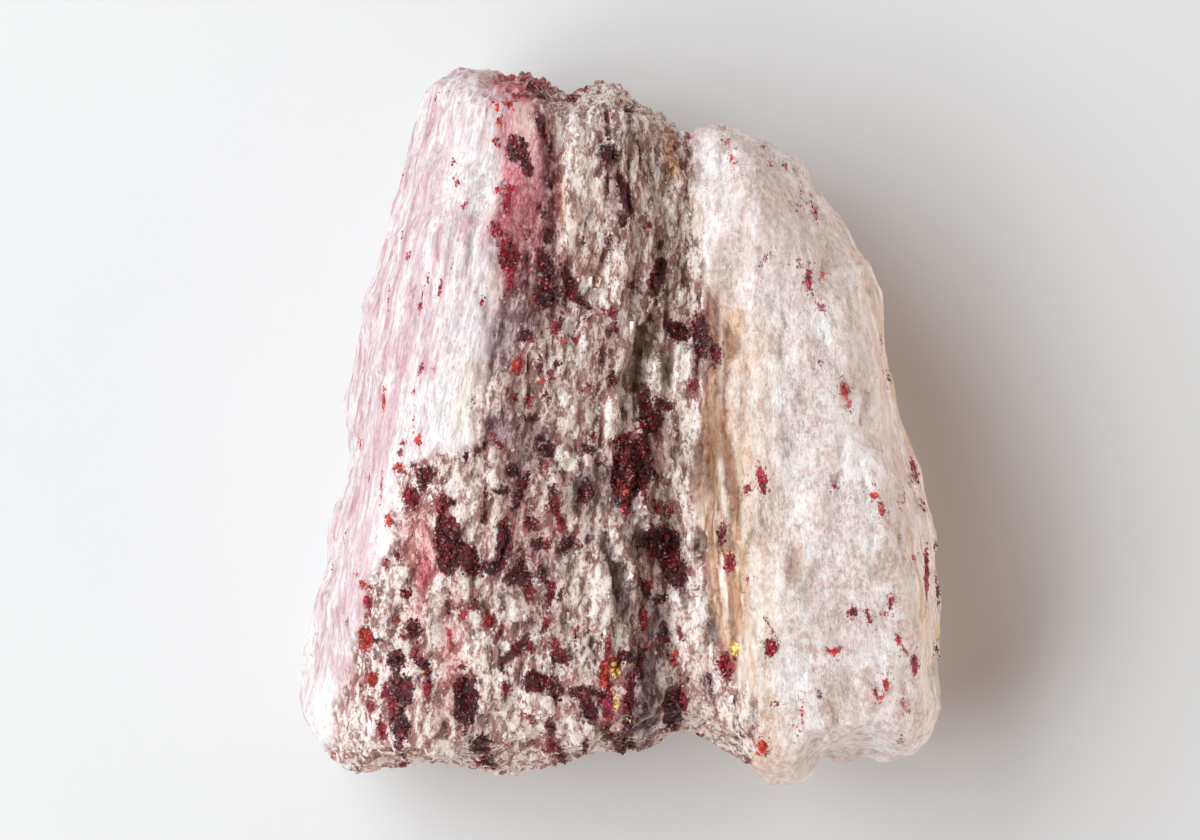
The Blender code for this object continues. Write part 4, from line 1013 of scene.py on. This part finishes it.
def quartz_material():
    """Streaked, crumbly and frosted quartz with red stains, made from what paint keeps on the mesh."""
    n = Nodes("quartz")
    place = n.vector("MULTIPLY", n.add("ShaderNodeTexCoord").outputs["Object"], (1 / MM, 1 / MM, 1 / MM))
    along = n.attribute("fan", "Vector")
    granular, middle, flank, bare, depth = map(n.attribute, ("granular", "middle", "flank", "bare", "depth"))
    lobe = n.minus(granular, middle)
    threads = n.noise(along, (6.5, 0.8, 6.5), 6, 0.7)
    crumbs = n.noise(along, (5.5, 2.6, 5.5), 5, 0.75)
    frost = n.ranged(n.noise(along, (1.9, 0.75, 1.9), 8, 0.72), 0.46, 0.54, 0, 1)
    facet_distance, _, facet_share = n.facets(place, (6.0, 4.0, 6.0), 0)
    _, small_colour, small_share = n.facets(place, (11.0, 8.0, 11.0), 1)

    # Light and dark: the threads' and crumbs' own tone, with painted shade, as the colour darkens where the
    # same noises lower the bump relief; the calm copy, gentler, is for the lobe
    thread_tone_and_shade = n.ranged(threads, 0.38, 0.62, 0.72, 1.16)
    crumb_tone_and_shade = n.times(
        n.ranged(crumbs, 0.36, 0.64, 0.62, 1.36), n.ranged(facet_share, 0, 1, 0.84, 1.12),
        n.ranged(small_share, 0, 1, 0.88, 1.1), n.ranged(frost, 0, 1, 0.58, 1.15),
    )
    calm_tone_and_shade = n.ranged(crumb_tone_and_shade, 0.3, 1.6, 0.7, 1.3)
    light = n.mixed(granular, thread_tone_and_shade, n.mixed(middle, calm_tone_and_shade, crumb_tone_and_shade))
    colour = n.brightened(n.attribute("tint", "Color"), light)

    # Layers over the quartz: where they lie, their colour and how they blend
    feathers = n.ranged(n.noise(along, (3.0, 1.9, 3.0), 9, 0.8), 0.475, 0.53, 0, 0.8)
    # Painted shade: spots darkened as shaded pits
    pit_shade_spots = n.ranged(n.noise(along, (4.5, 2.4, 4.5), 6, 0.75), 0.38, 0.43, 0.8, 0)
    crust = n.times(frost, middle, n.ranged(bare, 0, 1, 1.0, 0.22))
    specks = n.ranged(n.noise(along, (6.5, 2.0, 6.5), 5, 0.75), 0.565, 0.605, 0, 0.65)
    near_red = n.ranged(depth, -1.0, -0.1, 0, 0.16)
    dots = n.ranged(n.plus(n.noise(along, (4.0, 2.8, 4.0), 4, 0.7), near_red), 0.71, 0.73, 0, 0.85)
    layers = (
        # Painted shade: the middle's darkest crumbs warmed like shaded crevices
        (n.times(n.ranged(crumb_tone_and_shade, 0.45, 1.15, 1, 0), middle), WARM_PAINTED_SHADE, "MULTIPLY"),
        # Painted shade: the lobe's darker crumbs tinted pale warm pink
        (n.times(n.ranged(calm_tone_and_shade, 0.75, 1.1, 1, 0), lobe), PALE_PAINTED_SHADE, "MULTIPLY"),
        (n.times(feathers, n.ranged(bare, 0, 1, 1, 0.3), lobe), FEATHER, "MIX"),
        # Painted shade: the pit spots multiplied dark
        (n.times(pit_shade_spots, middle), PAINTED_PIT_SHADE, "MULTIPLY"),
        (n.times(crust, n.ranged(crumbs, 0.40, 0.55, 0.5, 1)), FROST, "MIX"),
        (n.times(specks, flank), FLANK_SPECK, "MIX"),
        (n.times(bare, flank, n.ranged(crumbs, 0.5, 0.6, 0, 0.75)), PINK_SUGAR, "MIX"),
        (n.times(dots, n.minus(1.0, flank)), RED_DOT, "MIX"),
    )
    for share, tint, blend in layers:
        colour = n.tinted(share, colour, tint, blend)

    # Red stains, with their own varied tone and painted glints: single facet cells made up to several times
    # lighter, as crystal faces catching the light
    ragged = n.ranged(n.noise(along, (3.6, 2.2, 3.6), 6, 0.8), 0.2, 0.8, -0.45, 0.45)
    in_stain = n.ranged(n.plus(depth, ragged), -0.04, 0.04, 0, 1)
    stain_tone_and_glints = n.times(
        n.ranged(facet_share, 0.4, 1, 0.6, 2.2), n.ranged(small_share, 0.3, 1, 0.7, 1.7),
        n.ranged(n.noise(place, (1.6, 1.2, 1.6), 3, 0.6), 0.4, 0.6, 0.4, 1.3),
    )
    colour = n.tinted(in_stain, colour, n.brightened(n.attribute("stain", "Color"), stain_tone_and_glints))

    # Fine relief, and facets that glint one by one
    bump = {"Strength": 1.0, "Distance": THREAD_BUMP * MM, "Height": threads}
    crumb_height = n.times(n.plus(crumbs, n.times(facet_distance, 0.3)), granular)
    bump = {
        "Strength": 1.0, "Distance": CRUMB_BUMP * MM, "Height": crumb_height,
        "Normal": n.add("ShaderNodeBump", bump).outputs[0],
    }
    sparkle = n.mixed(in_stain, n.times(granular, 0.25), 0.8)
    tilt = n.brightened(n.vector("SUBTRACT", small_colour, (0.5, 0.5, 0.5)), sparkle)
    normal = n.vector("NORMALIZE", n.vector("ADD", n.add("ShaderNodeBump", bump).outputs[0], tilt))
    roughness = n.mixed(granular, 0.45, n.ranged(small_share, 0.1, 0.9, 0.3, 0.65))
    n.set(Base_Color=colour, Roughness=roughness, Normal=normal, IOR=QUARTZ_IOR)
    n.set(Subsurface_Weight=0.35, Subsurface_Radius=(1.0, 0.8, 0.75), Subsurface_Scale=0.8 * MM)
    return n.material


def grain_material(name, roughness, ior, subsurface):
    """A grain's own colour with sharp reflections."""
    n = Nodes(name)
    n.set(Base_Color=n.attribute("tint", "Color"), Roughness=roughness, IOR=ior)
    n.set(Subsurface_Weight=subsurface, Subsurface_Radius=(1.0, 0.7, 0.65), Subsurface_Scale=0.2 * MM)
    return n.material


def pale_floor():
    """The plain pale floor."""
    data = bpy.data.meshes.new("floor")
    r = FLOOR_HALF
    data.from_pydata([(-r, -r, 0), (r, -r, 0), (r, r, 0), (-r, r, 0)], [], [(0, 1, 2, 3)])
    n = Nodes("floor")
    n.set(Base_Color=FLOOR_COLOUR, Roughness=0.6)
    data.materials.append(n.material)
    new_object("floor", data)


def studio():
    """The floor, a key light from the left, weaker lights from the right and the front, and the camera."""
    scene = bpy.context.scene
    pale_floor()
    for name, place, target, settings in LIGHTS:
        light = new_object(name, bpy.data.lights.new(name, "AREA"))
        for key, value in settings.items():
            setattr(light.data, key, value)
        light.location = Vector(place) * MM
        light.rotation_mode = "QUATERNION"
        light.rotation_quaternion = (Vector(target) - Vector(place)).to_track_quat("-Z", "Y")
    world = bpy.data.worlds.new("world")
    world.use_nodes = True
    background = world.node_tree.nodes["Background"]
    background.inputs["Color"].default_value = WORLD_COLOUR
    background.inputs["Strength"].default_value = WORLD_STRENGTH
    scene.world = world
    scene.view_settings.view_transform = "Standard"
    camera = new_object("camera", bpy.data.cameras.new("camera"))
    camera.data.lens = CAMERA_LENS
    camera.data.clip_start, camera.data.clip_end = 0.01, 10
    camera.location = Vector(CAMERA_PLACE) * MM
    scene.camera = camera


def finished(obj, material):
    obj.data.materials.append(material)
    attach(obj, "root")


def main():
    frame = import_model()
    rng = np.random.default_rng(RANDOM_SEED)
    body = fine_body(frame["nodes"]["quartz_stone"])
    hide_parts("quartz_stone")
    finished(body, quartz_material())
    tree = BVHTree.FromPolygons(
        [v.co.copy() for v in body.data.vertices], [tuple(f.vertices) for f in body.data.polygons]
    )
    clear = grain_material("clear_grains", 0.4, QUARTZ_IOR, 0.6)
    for row in SUGAR:
        finished(sugar_grains(tree, rng, *row), clear)
    red = grain_material("red_grains", 0.32, RED_IOR, 0.0)
    finished(cluster_grains(tree, rng, "red_grains", CLUSTERS), red)
    finished(cluster_grains(tree, rng, "yellow_flakes", YELLOW), red)
    studio()


main()
